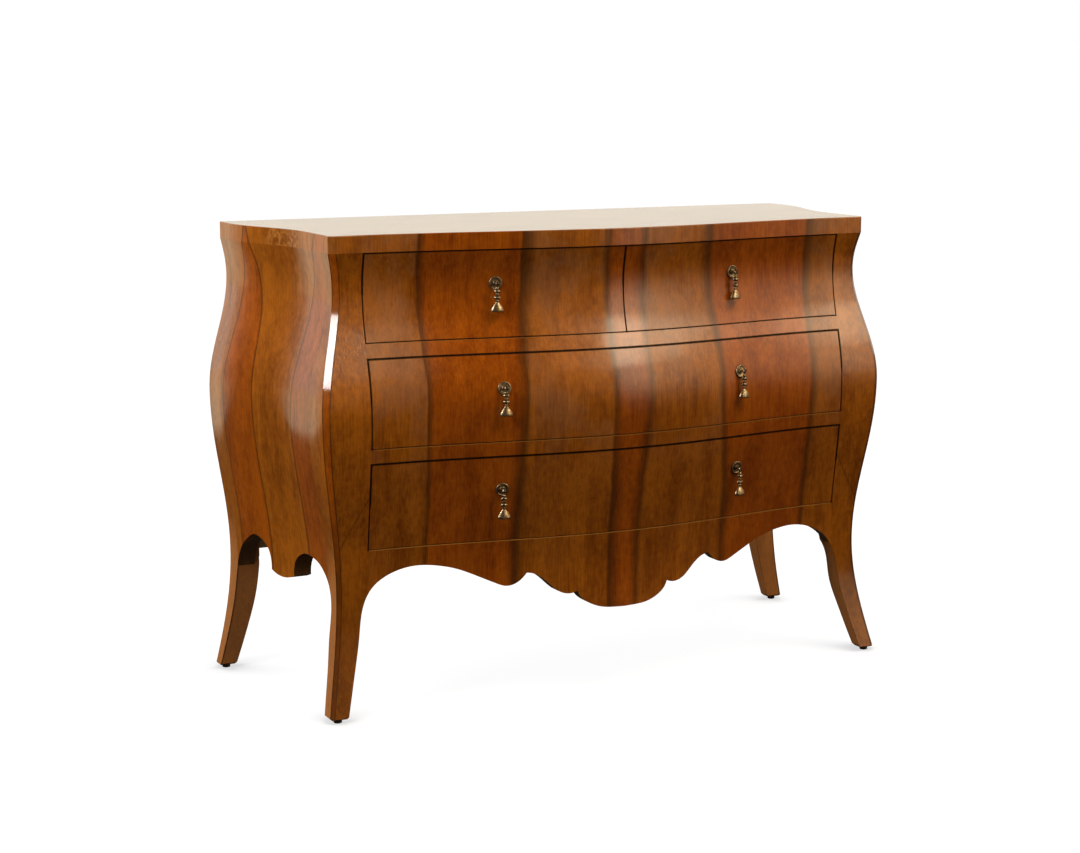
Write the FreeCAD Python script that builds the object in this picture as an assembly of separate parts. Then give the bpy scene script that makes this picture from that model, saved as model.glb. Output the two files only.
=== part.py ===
"""A bombe chest: four drawers in a swelling carcass that stands on four tapering legs.

While it is modelled, +X is to the right, the back plane is y = 0 with the front at negative y, and
the floor is z = 0.  At the end every piece moves back by half the depth, so that the origin is the
middle of the footprint on the floor.  All sizes are in millimetres.

The front is one surface: an upright profile carried along a bowed level line.  Each side is
another: an upright profile carried along an ogee.  Every outer piece is cut from the mass between
them, so the surfaces run on from drawer to rail to leg.
"""
import math
import os

import FreeCAD, Part

Vector = FreeCAD.Vector

# ---- The whole chest ---------------------------------------------------------------------------
HEIGHT = 900.0                # floor to the upper face of the top
TOP_THICKNESS = 32.5
BODY_TOP = HEIGHT - TOP_THICKNESS
FRONT_DEPTH = 449.5           # back plane to the front surface beside the drawers, under the top
FRONT_HALF_WIDTH = 579.0      # middle to the side surface near the front, under the top
DRAW_IN = 58.0                # the chest is this much wider on each side at the back
BACK_HALF_WIDTH = FRONT_HALF_WIDTH + DRAW_IN
POST_WIDTH = 65.4             # front post across the front, under the top
POST_DEPTH = 49.5             # front post along the side, under the top
OPENING_HALF_WIDTH = FRONT_HALF_WIDTH - POST_WIDTH
FRAME_BACK = FRONT_DEPTH - POST_DEPTH     # back plane to the back of the front posts and rails

# ---- Level lines: the bowed front and the ogee sides -------------------------------------------
BOW = 54.0                    # how far the middle of the front stands out
BOW_HALF_WIDTH = OPENING_HALF_WIDTH + 6.4   # the bow dies away just beyond the drawers
OGEE_BACK = 55.0              # distance from the back plane where the side starts to draw in
OGEE_FRONT = FRONT_DEPTH - 129.5            # distance where it has drawn in
TOE_START = FRONT_DEPTH - 9.5               # further forward the side turns in a little more
TOE_LENGTH = 50.0
TOE_IN = 6.0

# ---- Upright profiles: offsets outward from the line under the top -----------------------------
WAIST_HEIGHT = 235.0
BELLY_HEIGHT = BODY_TOP - 297.5
NECK_HEIGHT = BODY_TOP - 70.5
FRONT_SWELL = {"foot": 38.0, "waist": -2.5, "belly": 30.0, "neck": -11.5}
SIDE_SWELL = {"foot": 31.0, "waist": -6.0, "belly": 29.5, "neck": -11.0}

# ---- Drawer openings and rails -----------------------------------------------------------------
APRON_TOP = 314.5             # floor to the upper edge of the apron
RAIL_HEIGHT = 27.5
OPENING_HEIGHT = (BODY_TOP - APRON_TOP - 2 * RAIL_HEIGHT) / 3.0

# ---- Posts, legs and their canted corners ------------------------------------------------------
CANT_TOP = 10.5               # each leg of the cant under the top
CANT_FOOT = 5.0
GLIDE_HEIGHT = 7.0            # the glides lift the legs off the floor by this much
FOOT_WIDTH = 33.5             # leg across the front, at its end
FOOT_DEPTH = 26.0             # leg along the side, at its end
KNEE_HEIGHT = 148.0
KNEE_WIDTH = 44.5
KNEE_DEPTH = 38.0
LEG_SHARES = (1.0, 0.65, 0.3) # heights, as shares of the knee's, that fix a leg's inner line
FOOT_CHAMFER = 2.5
BACK_POST_WIDTH = 52.0
BACK_POST_DEPTH = 45.0
BACK_SHOULDER_DROP = 12.0     # the inner line of a back leg ends this far under the back panel
BACK_SHOULDER_STEP = 1.0      # and this far outside the inner face of its post

# ---- Sawn lower edges --------------------------------------------------------------------------
# Points of these outlines: a distance and how far below the upper edge of the apron they are.
# Cusps end the lobes.  Front, right half: distances from the middle, then from the post inward.
FRONT_LOBES = [
    [(0, 150), (26, 149), (50, 146), (73, 137.5), (89, 126.5), (99, 110.5)],
    [(99, 110.5), (118, 114.5), (137, 108.5), (158, 90.5), (178, 74.5), (201, 67.5)],
]
FRONT_ARCH = [(201, 67.5), (213, 80.5), (229, 89), (243, 90.2), (260, 84.5), (297, 67.5)]
FRONT_SHOULDER = [(173.6, 49.5), (135.6, 40.5), (96.6, 37.5), (63.6, 42.5), (31.6, 55.5),
                  (11.6, 70.5), (-4.4, 94.5)]
# Side, from back to front: distances from the back plane, then from the front post backward.
SIDE_BACK_ARCH = [(49, 88.5), (66, 60.5), (89, 40.5), (110, 27.5), (130, 20), (150, 25.5),
                  (166, 37.5), (174, 54.5), (177, 82.5)]
SIDE_LOBE = [(177, 82.5), (188, 88), (203, 91.8), (222, 91.5), (244, 84)]
SIDE_FRONT_ARCH = [(244, 84), (248, 58.5), (256, 46.5), (270, 37.5), (285, 32.5), (302, 31)]
SIDE_SHOULDER = [(70, 33), (45, 37.5), (19, 50), (1, 65.5), (-12, 92.5)]

# ---- Boards ------------------------------------------------------------------------------------
SIDE_THICKNESS = 35.0
APRON_THICKNESS = 26.0
APRON_LEDGE = 26.0            # height of the ledge behind the apron's upper edge
BACK_THICKNESS = 8.0
BACK_INSET = 3.0              # back panel in from the back plane
BACK_REBATE = 9.0             # how far the back panel laps the posts
BACK_RAIL_DEPTH = 12.0
BACK_TOP_RAIL_HEIGHT = 38.0
BACK_BOTTOM_RAIL_HEIGHT = 52.0
PARTITION_THICKNESS = 23.0
DUST_THICKNESS = 6.0
DUST_GROOVE = 8.0
CENTRE_RUNNER_THICKNESS = 13.0
CENTRE_RUNNER_HALF_WIDTH = 45.0
RUNNER_THICKNESS = 22.0
RUNNER_WIDTH = 34.0           # under the drawer side
GUIDE_WIDTH = 18.0            # upstand that guides the drawer side
GUIDE_HEIGHT = 20.0
STOP_LENGTH = 13.0
STOP_WIDTH = 14.0
TOP_EDGE_RADIUS = 1.5

# ---- Drawers -----------------------------------------------------------------------------------
FRONT_GAP = 1.5               # round each drawer front
FRONT_WALL = 24.0             # front to back through a drawer front
PAD_WIDTH = 24.0              # flat-backed ends of a drawer front, where the sides join
SIDE_WALL = 13.0
SIDE_CLEARANCE = 1.4          # drawer side to its guide
RUN_CLEARANCE = 0.4           # drawer side to its runner, its stop and the partition
HEADROOM = 10.0               # drawer side to the rail above
BACK_WALL = 12.0
BACK_DROP = 8.0               # drawer back below the upper edges of the sides
BOTTOM_THICKNESS = 7.0
BOTTOM_RISE = 11.0            # bottom above the lower edges of the sides
BOTTOM_GROOVE = 6.0
GROOVE_CLEARANCE = 0.4

# ---- Pulls -------------------------------------------------------------------------------------
PULL_X = OPENING_HALF_WIDTH / 2.0
PULL_RISE = 18.5              # above the middle of its opening
PLATE_RADIUS = 12.8
PLATE_HEIGHT = 2.6
PLATE_SINK = 3.0              # the plate is shaped to the surface, so its blank starts inside it
SHANK_RADIUS = 2.4
SHANK_CLEARANCE = 0.1
BALL_RADIUS = 4.2
DROP_CLEARANCE = 3.1          # drop to the drawer front where it hangs closest
SLOT_WIDTH = 3.4
TONGUE_THICKNESS = 2.8
TONGUE_RADIUS = 2.5
SLOT_RADIUS = 3.0             # room in the slot round the tongue
PIN_RADIUS = 0.9
PIN_CLEARANCE = 0.06
NUT_ACROSS = 9.0
NUT_HEIGHT = 4.0
THREAD_TAIL = 2.0             # shank beyond the nut
PIN_INSET = 0.4               # ends of the pin inside the ball
COLLAR_DROP = 6.6             # top of the turned part of the drop, below the pin
NECK_RADIUS = 2.7
NECK_SWELL = 0.7              # the necks are thicker in their middle by this
BEAD_RADIUS = 6.7
BEAD_DROPS = (14.0, 26.0)     # bead centres below the pin
BEAD_HALF_HEIGHT = 3.3
BEAD_FLATTENING = 0.7         # front to back, as a share of the width
BELL_RADIUS = 12.4
BELL_TOP_DROP = 34.0
BELL_BOTTOM_DROP = 52.5
BELL_FLATTENING = 0.44

# ---- Glides and screws -------------------------------------------------------------------------
GLIDE_RADIUS = 8.0
GLIDE_PIN_RADIUS = 1.5
GLIDE_PIN_LENGTH = 14.0
GLIDE_CHAMFER = 1.0
SCREW_RADIUS = 1.6
SCREW_HEAD_RADIUS = 3.8
SCREW_HEAD_HEIGHT = 2.0
SCREW_LENGTH = 16.0
SCREW_EDGE = 4.5              # screw centre in from the edge of the back panel
SCREW_COLUMN = (0.11, 0.37, 0.63, 0.89)     # shares of the back panel's height
SCREW_ROW = (-0.75, -0.25, 0.25, 0.75)      # shares of the half width between the back posts

# ---- Turned profiles, as pairs of shares -------------------------------------------------------
RIM_CURVE = [(1.0, 0.45), (0.97, 0.85), (0.88, 1.0), (0.78, 0.85), (0.73, 0.45)]  # radius, height
BOSS_CURVE = [(0.45, 0.35), (0.38, 0.9), (0.3, 1.0)]
BEAD_CURVE = [(0.9, -0.6), (1.0, 0.0), (0.9, 0.6)]                # radius, half height
BELL_CURVE = [(0.4, 0.16), (0.68, 0.4), (0.9, 0.65), (1.0, 0.84), (0.985, 0.93), (0.9, 1.0)]
SCREW_DOME_CURVE = [(1.0, 0.0), (0.75, 0.7), (0.0, 1.0)]

# ---- Working values ----------------------------------------------------------------------------
SPLINE_STEPS = 30             # spans that follow a formula
OVERHANG = 20.0               # how far cutting surfaces pass the body
FAR = 900.0                   # well outside the chest

OPENINGS = {}                 # row name -> (bottom, top) of its opening
opening_top = BODY_TOP
for row_name in ("upper", "middle", "lower"):
    OPENINGS[row_name] = (opening_top - OPENING_HEIGHT, opening_top)
    opening_top -= OPENING_HEIGHT + RAIL_HEIGHT
BACK_PANEL_FRONT = -(BACK_INSET + BACK_THICKNESS)
BACK_BOTTOM = APRON_TOP - RUNNER_THICKNESS - BACK_BOTTOM_RAIL_HEIGHT
BACK_INNER_HALF_WIDTH = BACK_HALF_WIDTH - BACK_POST_WIDTH
DRAWER_REAR = BACK_PANEL_FRONT - STOP_LENGTH - RUN_CLEARANCE


# ---- Formulas of the surfaces ------------------------------------------------------------------
def blend(start, end, share):
    """From start to end along half a cosine wave."""
    return start + (end - start) * (1.0 - math.cos(share * math.pi)) / 2.0


def swell(z, offsets):
    """Outward offset of an upright profile at height z."""
    if z >= NECK_HEIGHT:
        share = (z - NECK_HEIGHT) / (BODY_TOP - NECK_HEIGHT)
        return offsets["neck"] * math.cos(share * math.pi / 2.0)
    if z >= BELLY_HEIGHT:
        share = (z - BELLY_HEIGHT) / (NECK_HEIGHT - BELLY_HEIGHT)
        return blend(offsets["belly"], offsets["neck"], share)
    if z >= WAIST_HEIGHT:
        share = (z - WAIST_HEIGHT) / (BELLY_HEIGHT - WAIST_HEIGHT)
        return blend(offsets["waist"], offsets["belly"], share)
    share = (WAIST_HEIGHT - z) / WAIST_HEIGHT
    flare = 1.0 - math.cos(share * math.pi / 2.0)
    return offsets["waist"] + (offsets["foot"] - offsets["waist"]) * flare


def bow(x):
    """How far the front stands out at x."""
    return blend(BOW, 0.0, min(abs(x) / BOW_HALF_WIDTH, 1.0))


def side_line(y):
    """Half width of the level line of a side at y."""
    distance = -y
    share = (distance - OGEE_BACK) / (OGEE_FRONT - OGEE_BACK)
    half_width = blend(BACK_HALF_WIDTH, FRONT_HALF_WIDTH, min(max(share, 0.0), 1.0))
    toe = max(distance - TOE_START, 0.0) / TOE_LENGTH
    return half_width - TOE_IN * (1.0 - math.cos(toe * math.pi / 2.0))


def front_y(x, z):
    return -(FRONT_DEPTH + swell(z, FRONT_SWELL) + bow(x))


def side_x(y, z):
    return side_line(y) + swell(z, SIDE_SWELL)


def leg_width(z):
    return FOOT_WIDTH + (KNEE_WIDTH - FOOT_WIDTH) * z / KNEE_HEIGHT


def leg_depth(z):
    return FOOT_DEPTH + (KNEE_DEPTH - FOOT_DEPTH) * z / KNEE_HEIGHT


def leg_heights():
    """Heights, downward, that fix the inner line of a leg; the last is below the floor."""
    return [share * KNEE_HEIGHT for share in LEG_SHARES] + [-OVERHANG]


def steps(start, end, count):
    return [start + (end - start) * i / count for i in range(count + 1)]


# ---- Shape helpers -----------------------------------------------------------------------------
def box(x0, x1, y0, y1, z0, z1):
    return Part.makeBox(x1 - x0, y1 - y0, z1 - z0, Vector(x0, y0, z0))


def cylinder(radius, start, end):
    axis = end.sub(start)
    return Part.makeCylinder(radius, axis.Length, start, axis)


def spline(points):
    curve = Part.BSplineCurve()
    curve.interpolate(points)
    return curve


def carried(level, upright):
    """The surface that carries one curve along the other: its poles are sums of theirs."""
    poles = [[low.add(up) for up in upright.getPoles()] for low in level.getPoles()]
    surface = Part.BSplineSurface()
    surface.buildFromPolesMultsKnots(
        poles, level.getMultiplicities(), upright.getMultiplicities(),
        level.getKnots(), upright.getKnots(), False, False, level.Degree, upright.Degree)
    return surface.toShape()


def revolved(profile):
    """A solid turned about local Z.  The profile is a chain of runs of (radius, height) points: a
    run of three or more is a curve, and straight lines join one run to the next."""
    edges = []
    last = None
    for run in profile + [profile[0][:1]]:
        points = [Vector(radius, 0, height) for radius, height in run]
        if last is not None and points[0].distanceToPoint(last) > 1e-6:
            edges.append(Part.makeLine(last, points[0]))
        if len(points) > 1:
            edges.append(spline(points).toShape())
        last = points[-1]
    turned = Part.Face(Part.Wire(edges)).revolve(Vector(0, 0, 0), Vector(0, 0, 1), 360)
    return turned if turned.Volume > 0 else turned.reversed()


def scaled(curve, radius, height):
    """Points of a turned profile from pairs of shares."""
    return [(radius * radius_share, height * height_share) for radius_share, height_share in curve]


def mirrored(shape):
    return shape.mirror(Vector(0, 0, 0), Vector(1, 0, 0))


def fused(shapes):
    return shapes[0].multiFuse(shapes[1:]).removeSplitter()


# ---- The mass between the surfaces -------------------------------------------------------------
def front_solid(depth):
    """The region from the front surface back by a depth."""
    uprights = [Vector(0, front_y(FAR, z), z)
                for z in steps(-OVERHANG, BODY_TOP + OVERHANG, SPLINE_STEPS)]
    reach = BACK_HALF_WIDTH + SIDE_SWELL["foot"] + OVERHANG
    levels = [Vector(x, -bow(x), 0) for x in steps(-reach, reach, SPLINE_STEPS)]
    return carried(spline(levels), spline(uprights)).extrude(Vector(0, depth, 0))


def side_solid(side, depth):
    """The region from a side surface inward by a depth; side is 1 for right and -1 for left."""
    uprights = [Vector(side * swell(z, SIDE_SWELL), 0, z)
                for z in steps(-OVERHANG, BODY_TOP + OVERHANG, SPLINE_STEPS)]
    reach = FRONT_DEPTH + FRONT_SWELL["foot"] + BOW + OVERHANG
    levels = [Vector(side * side_line(y), y, 0) for y in steps(-reach, OVERHANG, SPLINE_STEPS)]
    return carried(spline(levels), spline(uprights)).extrude(Vector(-side * depth, 0, 0))


def cant_cutter(side):
    """What the canted corner takes off, along the corner of front and side."""
    inner = []
    outer = []
    for z in steps(-OVERHANG, BODY_TOP + OVERHANG, SPLINE_STEPS):
        y = front_y(FAR, z)
        x = side_x(y, z)
        cant = CANT_FOOT + (CANT_TOP - CANT_FOOT) * z / BODY_TOP
        inner.append(Vector(side * (x - cant - OVERHANG), y - OVERHANG, z))
        outer.append(Vector(side * (x + OVERHANG), y + cant + OVERHANG, z))
    face = Part.makeRuledSurface(spline(inner).toShape(), spline(outer).toShape())
    return face.extrude(Vector(side * 2 * OVERHANG, -2 * OVERHANG, 0))


def make_mass():
    mass = front_solid(FAR).common(side_solid(1, 2 * FAR)).common(side_solid(-1, 2 * FAR))
    mass = mass.common(box(-FAR, FAR, -FAR, 0, GLIDE_HEIGHT, BODY_TOP))
    return mass.cut(cant_cutter(1)).cut(cant_cutter(-1))


# ---- Sawn outlines -----------------------------------------------------------------------------
def under_apron(points):
    """(Distance, drop below the apron's upper edge) as (distance, height)."""
    return [(distance, APRON_TOP - drop) for distance, drop in points]


def front_outline_cutter():
    """Everything below the sawn edge of the apron and between the front legs."""
    leg = []
    for z in leg_heights():
        leg.append((side_x(front_y(FAR, z), z) - leg_width(z), z))
    shoulder = [(OPENING_HALF_WIDTH - inward, drop) for inward, drop in FRONT_SHOULDER]
    curves = [under_apron(lobe) for lobe in FRONT_LOBES]
    curves.append(under_apron(FRONT_ARCH + shoulder) + leg)
    right = [spline([Vector(x, 0, z) for x, z in points]).toShape() for points in curves]
    left = [spline([Vector(-x, 0, z) for x, z in points]).toShape() for points in curves]
    foot_x = leg[-1][0]
    base = Part.makeLine(Vector(foot_x, 0, -OVERHANG), Vector(-foot_x, 0, -OVERHANG))
    wire = Part.Wire(Part.__sortEdges__(right + left + [base]))
    face = Part.Face(wire)
    face.translate(Vector(0, -FAR, 0))
    return face.extrude(Vector(0, 2 * FAR, 0))


def side_outline_cutter():
    """Everything below the sawn edges of the sides and between a front and a back leg."""
    back_leg = [(leg_depth(z), z) for z in reversed(leg_heights())]
    front_leg = [(-front_y(FAR, z) - leg_depth(z), z) for z in leg_heights()]
    shoulder = [(FRAME_BACK - backward, drop) for backward, drop in SIDE_SHOULDER]
    curves = [back_leg + under_apron(SIDE_BACK_ARCH), under_apron(SIDE_LOBE),
              under_apron(SIDE_FRONT_ARCH + shoulder) + front_leg]
    edges = [spline([Vector(-FAR, -distance, z) for distance, z in points]).toShape()
             for points in curves]
    start = edges[0].Vertexes[0].Point
    end = edges[-1].Vertexes[-1].Point
    edges.append(Part.makeLine(end, start))
    return Part.Face(Part.Wire(edges)).extrude(Vector(2 * FAR, 0, 0))


def back_leg_cutter(side):
    """What tapers the inner face of a back leg."""
    points = []
    for z in steps(-OVERHANG, KNEE_HEIGHT, 4):
        points.append(Vector(side * (side_x(0, z) - leg_width(z)), 0, z))
    inner = side * BACK_INNER_HALF_WIDTH
    points.append(Vector(inner + side * BACK_SHOULDER_STEP, 0, BACK_BOTTOM - BACK_SHOULDER_DROP))
    curve = spline(points).toShape()
    low = Vector(inner - side * OVERHANG, 0, -OVERHANG)
    high = Vector(low.x, 0, points[-1].z)
    lines = [Part.makeLine(points[-1], high), Part.makeLine(high, low), Part.makeLine(low, points[0])]
    face = Part.Face(Part.Wire([curve] + lines))
    face.translate(Vector(0, -FAR, 0))
    return face.extrude(Vector(0, 2 * FAR, 0))


# ---- Carcass -----------------------------------------------------------------------------------
def make_top():
    """A slab with upright edges over the level lines of the front and sides."""
    front_line = front_y(FAR, BODY_TOP)
    corner_x = side_x(front_line, BODY_TOP)
    cant_x = corner_x - CANT_TOP
    cant_y = front_line + CANT_TOP
    front = spline([Vector(x, front_y(x, BODY_TOP), BODY_TOP)
                    for x in steps(-cant_x, cant_x, SPLINE_STEPS)]).toShape()
    right = spline([Vector(side_x(y, BODY_TOP), y, BODY_TOP)
                    for y in steps(cant_y, 0.0, SPLINE_STEPS)]).toShape()
    left = spline([Vector(-side_x(y, BODY_TOP), y, BODY_TOP)
                   for y in steps(cant_y, 0.0, SPLINE_STEPS)]).toShape()
    joints = [
        Part.makeLine(front.Vertexes[-1].Point, right.Vertexes[0].Point),
        Part.makeLine(right.Vertexes[-1].Point, left.Vertexes[-1].Point),
        Part.makeLine(left.Vertexes[0].Point, front.Vertexes[0].Point),
    ]
    wire = Part.Wire(Part.__sortEdges__([front, right, left] + joints))
    slab = Part.Face(wire).extrude(Vector(0, 0, TOP_THICKNESS))
    rim = [edge for edge in slab.Edges if edge.BoundBox.ZMin > HEIGHT - 0.1]
    return slab.makeFillet(TOP_EDGE_RADIUS, rim)


def glide_centre(side, row):
    """Middle of a leg's end: row is front or back."""
    y = -FOOT_DEPTH / 2.0
    corner_y = 0.0
    if row == "front":
        corner_y = front_y(FAR, GLIDE_HEIGHT)
        y = corner_y + FOOT_DEPTH / 2.0
    x = side_x(corner_y, GLIDE_HEIGHT) - FOOT_WIDTH / 2.0
    return Vector(side * x, y, 0)


def glide_pin(centre):
    start = Vector(centre.x, centre.y, GLIDE_HEIGHT)
    return cylinder(GLIDE_PIN_RADIUS, start, start.add(Vector(0, 0, GLIDE_PIN_LENGTH)))


def make_glide(centre):
    """A turned disc with the nail that holds it in the leg."""
    disc = Part.makeCylinder(GLIDE_RADIUS, GLIDE_HEIGHT, centre)
    lower = [edge for edge in disc.Edges if edge.BoundBox.ZMax < centre.z + 0.01]
    return disc.makeChamfer(GLIDE_CHAMFER, lower).fuse(glide_pin(centre))


def rectangle(x0, x1, y0, y1, z):
    corners = [(x0, y0), (x1, y0), (x1, y1), (x0, y1), (x0, y0)]
    return Part.makePolygon([Vector(x, y, z) for x, y in corners])


def foot_bevel(side, row):
    """What breaks the edges of a leg's end: a block less a pyramid that opens upward at 45 degrees."""
    centre = glide_centre(side, row)
    half_x = FOOT_WIDTH / 2.0
    half_y = FOOT_DEPTH / 2.0
    rise = 2 * FOOT_CHAMFER
    outlines = []
    for grow, z in ((-FOOT_CHAMFER, GLIDE_HEIGHT), (rise - FOOT_CHAMFER, GLIDE_HEIGHT + rise)):
        outlines.append(rectangle(centre.x - half_x - grow, centre.x + half_x + grow,
                                  centre.y - half_y - grow, centre.y + half_y + grow, z))
    block = box(centre.x - FOOT_WIDTH, centre.x + FOOT_WIDTH, centre.y - FOOT_WIDTH,
                centre.y + FOOT_WIDTH, GLIDE_HEIGHT, GLIDE_HEIGHT + rise)
    return block.cut(Part.makeLoft(outlines, True, True))


def make_front_post(mass, side, cutters):
    inner = OPENING_HALF_WIDTH
    block = box(inner, FAR, -FAR, -FRAME_BACK, 0, BODY_TOP)
    if side < 0:
        block = mirrored(block)
    post = mass.common(block).cut(cutters["front"]).cut(cutters["side"])
    return post.cut(foot_bevel(side, "front")).cut(glide_pin(glide_centre(side, "front")))


def make_back_post(mass, side, cutters):
    inner = BACK_INNER_HALF_WIDTH
    block = box(inner, FAR, -BACK_POST_DEPTH, 0, 0, BODY_TOP)
    if side < 0:
        block = mirrored(block)
    post = mass.common(block).cut(cutters["side"]).cut(back_leg_cutter(side))
    rebate = box(-inner - BACK_REBATE, inner + BACK_REBATE, BACK_PANEL_FRONT, 0, BACK_BOTTOM, BODY_TOP)
    post = post.cut(rebate).cut(foot_bevel(side, "back"))
    return post.cut(glide_pin(glide_centre(side, "back")))


def make_side_panel(mass, side, cutters):
    block = box(-FAR, FAR, -FRAME_BACK, -BACK_POST_DEPTH, 0, BODY_TOP)
    return mass.common(side_solid(side, SIDE_THICKNESS)).common(block).cut(cutters["side"])


def dust_panel(rail_top):
    """A thin board in grooves of the rail before it and the runners beside it."""
    half_width = OPENING_HALF_WIDTH - RUNNER_WIDTH + DUST_GROOVE
    top = rail_top - CENTRE_RUNNER_THICKNESS
    return box(-half_width, half_width, -FRAME_BACK - DUST_GROOVE, BACK_PANEL_FRONT,
               top - DUST_THICKNESS, top)


def make_rail(mass, top):
    block = box(-OPENING_HALF_WIDTH, OPENING_HALF_WIDTH, -FAR, -FRAME_BACK, top - RAIL_HEIGHT, top)
    return mass.common(block).cut(dust_panel(top))


def make_apron(mass, cutters):
    """The sawn apron, with a ledge along its upper edge that is deep like the other rails."""
    skin = mass.common(front_solid(APRON_THICKNESS))
    skin = skin.common(box(-OPENING_HALF_WIDTH, OPENING_HALF_WIDTH, -FAR, 0, 0, APRON_TOP))
    ledge = mass.common(box(-OPENING_HALF_WIDTH, OPENING_HALF_WIDTH, -FAR, -FRAME_BACK,
                            APRON_TOP - APRON_LEDGE, APRON_TOP))
    return fused([skin.cut(cutters["front"]), ledge]).cut(dust_panel(APRON_TOP))


def make_runner(side, rail_top):
    """A runner with an upstand that guides the drawer side, grooved for the dust panel."""
    guide = OPENING_HALF_WIDTH - FRONT_GAP
    outer = guide + GUIDE_WIDTH
    inner = OPENING_HALF_WIDTH - RUNNER_WIDTH
    bed = box(inner, outer, -FRAME_BACK, BACK_PANEL_FRONT, rail_top - RUNNER_THICKNESS, rail_top)
    upstand = box(guide, outer, -FRAME_BACK, BACK_PANEL_FRONT, rail_top, rail_top + GUIDE_HEIGHT)
    runner = fused([bed, upstand]).cut(dust_panel(rail_top))
    return runner if side > 0 else mirrored(runner)


def make_stops():
    """Blocks on the rear of the runners that each drawer's sides meet when it is shut."""
    blocks = []
    for row, (floor, _) in OPENINGS.items():
        outer = OPENING_HALF_WIDTH - FRONT_GAP - SIDE_CLEARANCE
        places = [outer - STOP_WIDTH]
        if row == "upper":
            places.append(PARTITION_THICKNESS / 2.0 + RUN_CLEARANCE)
        for x in places:
            stop = box(x, x + STOP_WIDTH, BACK_PANEL_FRONT - STOP_LENGTH, BACK_PANEL_FRONT,
                       floor, floor + GUIDE_HEIGHT)
            blocks += [stop, mirrored(stop)]
    return Part.makeCompound(blocks)


def screw_places():
    """Where the back panel is screwed: down both posts and along both back rails."""
    column_x = BACK_INNER_HALF_WIDTH + SCREW_EDGE
    column = [BACK_BOTTOM + share * (BODY_TOP - BACK_BOTTOM) for share in SCREW_COLUMN]
    places = [(side * column_x, z) for side in (-1, 1) for z in column]
    rows = (BACK_BOTTOM + BACK_BOTTOM_RAIL_HEIGHT / 2.0, BODY_TOP - BACK_TOP_RAIL_HEIGHT / 2.0)
    places += [(share * BACK_INNER_HALF_WIDTH, z) for z in rows for share in SCREW_ROW]
    return places


def make_screws():
    """Dome-headed screws through the back panel."""
    screws = []
    for x, z in screw_places():
        seat = Vector(x, -BACK_INSET, z)
        dome = revolved([[(0, 0)], scaled(SCREW_DOME_CURVE, SCREW_HEAD_RADIUS, SCREW_HEAD_HEIGHT)])
        dome.rotate(Vector(0, 0, 0), Vector(1, 0, 0), -90)
        dome.translate(seat)
        shank = cylinder(SCREW_RADIUS, seat, seat.add(Vector(0, -SCREW_LENGTH, 0)))
        screws.append(dome.fuse(shank))
    return Part.makeCompound(screws)


def make_carcass(mass):
    cutters = {"front": front_outline_cutter(), "side": side_outline_cutter()}
    screws = make_screws()
    back_inner = BACK_INNER_HALF_WIDTH
    nodes = {"top_panel": make_top(), "back_screws": screws, "drawer_stops": make_stops()}
    for side, word in ((-1, "left"), (1, "right")):
        nodes[word + "_side_panel"] = make_side_panel(mass, side, cutters)
        nodes["front_" + word + "_post"] = make_front_post(mass, side, cutters)
        nodes["back_" + word + "_post"] = make_back_post(mass, side, cutters).cut(screws)
    nodes["back_panel"] = box(-back_inner - BACK_REBATE, back_inner + BACK_REBATE, BACK_PANEL_FRONT,
                              -BACK_INSET, BACK_BOTTOM, BODY_TOP).cut(screws)
    rail_front = BACK_PANEL_FRONT - BACK_RAIL_DEPTH
    nodes["back_top_rail"] = box(-back_inner, back_inner, rail_front, BACK_PANEL_FRONT,
                                 BODY_TOP - BACK_TOP_RAIL_HEIGHT, BODY_TOP).cut(screws)
    nodes["back_bottom_rail"] = box(-back_inner, back_inner, rail_front, BACK_PANEL_FRONT, BACK_BOTTOM,
                                    BACK_BOTTOM + BACK_BOTTOM_RAIL_HEIGHT).cut(screws)
    for row, name in (("upper", "upper_front_rail"), ("middle", "lower_front_rail")):
        nodes[name] = make_rail(mass, OPENINGS[row][0])
    nodes["front_apron"] = make_apron(mass, cutters)
    for row, name in (("upper", "upper_dust_panel"), ("middle", "lower_dust_panel"),
                      ("lower", "bottom_panel")):
        floor = OPENINGS[row][0]
        nodes[name] = dust_panel(floor)
        for side, word in ((-1, "left"), (1, "right")):
            nodes[row + "_" + word + "_runner"] = make_runner(side, floor)
    floor = OPENINGS["upper"][0]
    nodes["centre_runner"] = box(-CENTRE_RUNNER_HALF_WIDTH, CENTRE_RUNNER_HALF_WIDTH, -FRAME_BACK,
                                 BACK_PANEL_FRONT, floor - CENTRE_RUNNER_THICKNESS, floor)
    partition_front = pad_plane("upper", PARTITION_THICKNESS) + RUN_CLEARANCE
    nodes["centre_partition"] = box(-PARTITION_THICKNESS / 2.0, PARTITION_THICKNESS / 2.0,
                                    partition_front, rail_front, floor, BODY_TOP)
    glides = [make_glide(glide_centre(side, row)) for row in ("front", "back") for side in (-1, 1)]
    nodes["foot_glides"] = Part.makeCompound(glides)
    return nodes


# ---- Drawers -----------------------------------------------------------------------------------
def pad_plane(row, x):
    """The flat back of a drawer front near x: a wall's thickness behind its innermost height."""
    bottom, top = OPENINGS[row]
    shallowest = max(front_y(x, z) for z in steps(bottom, top, SPLINE_STEPS))
    return shallowest + FRONT_WALL


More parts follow.
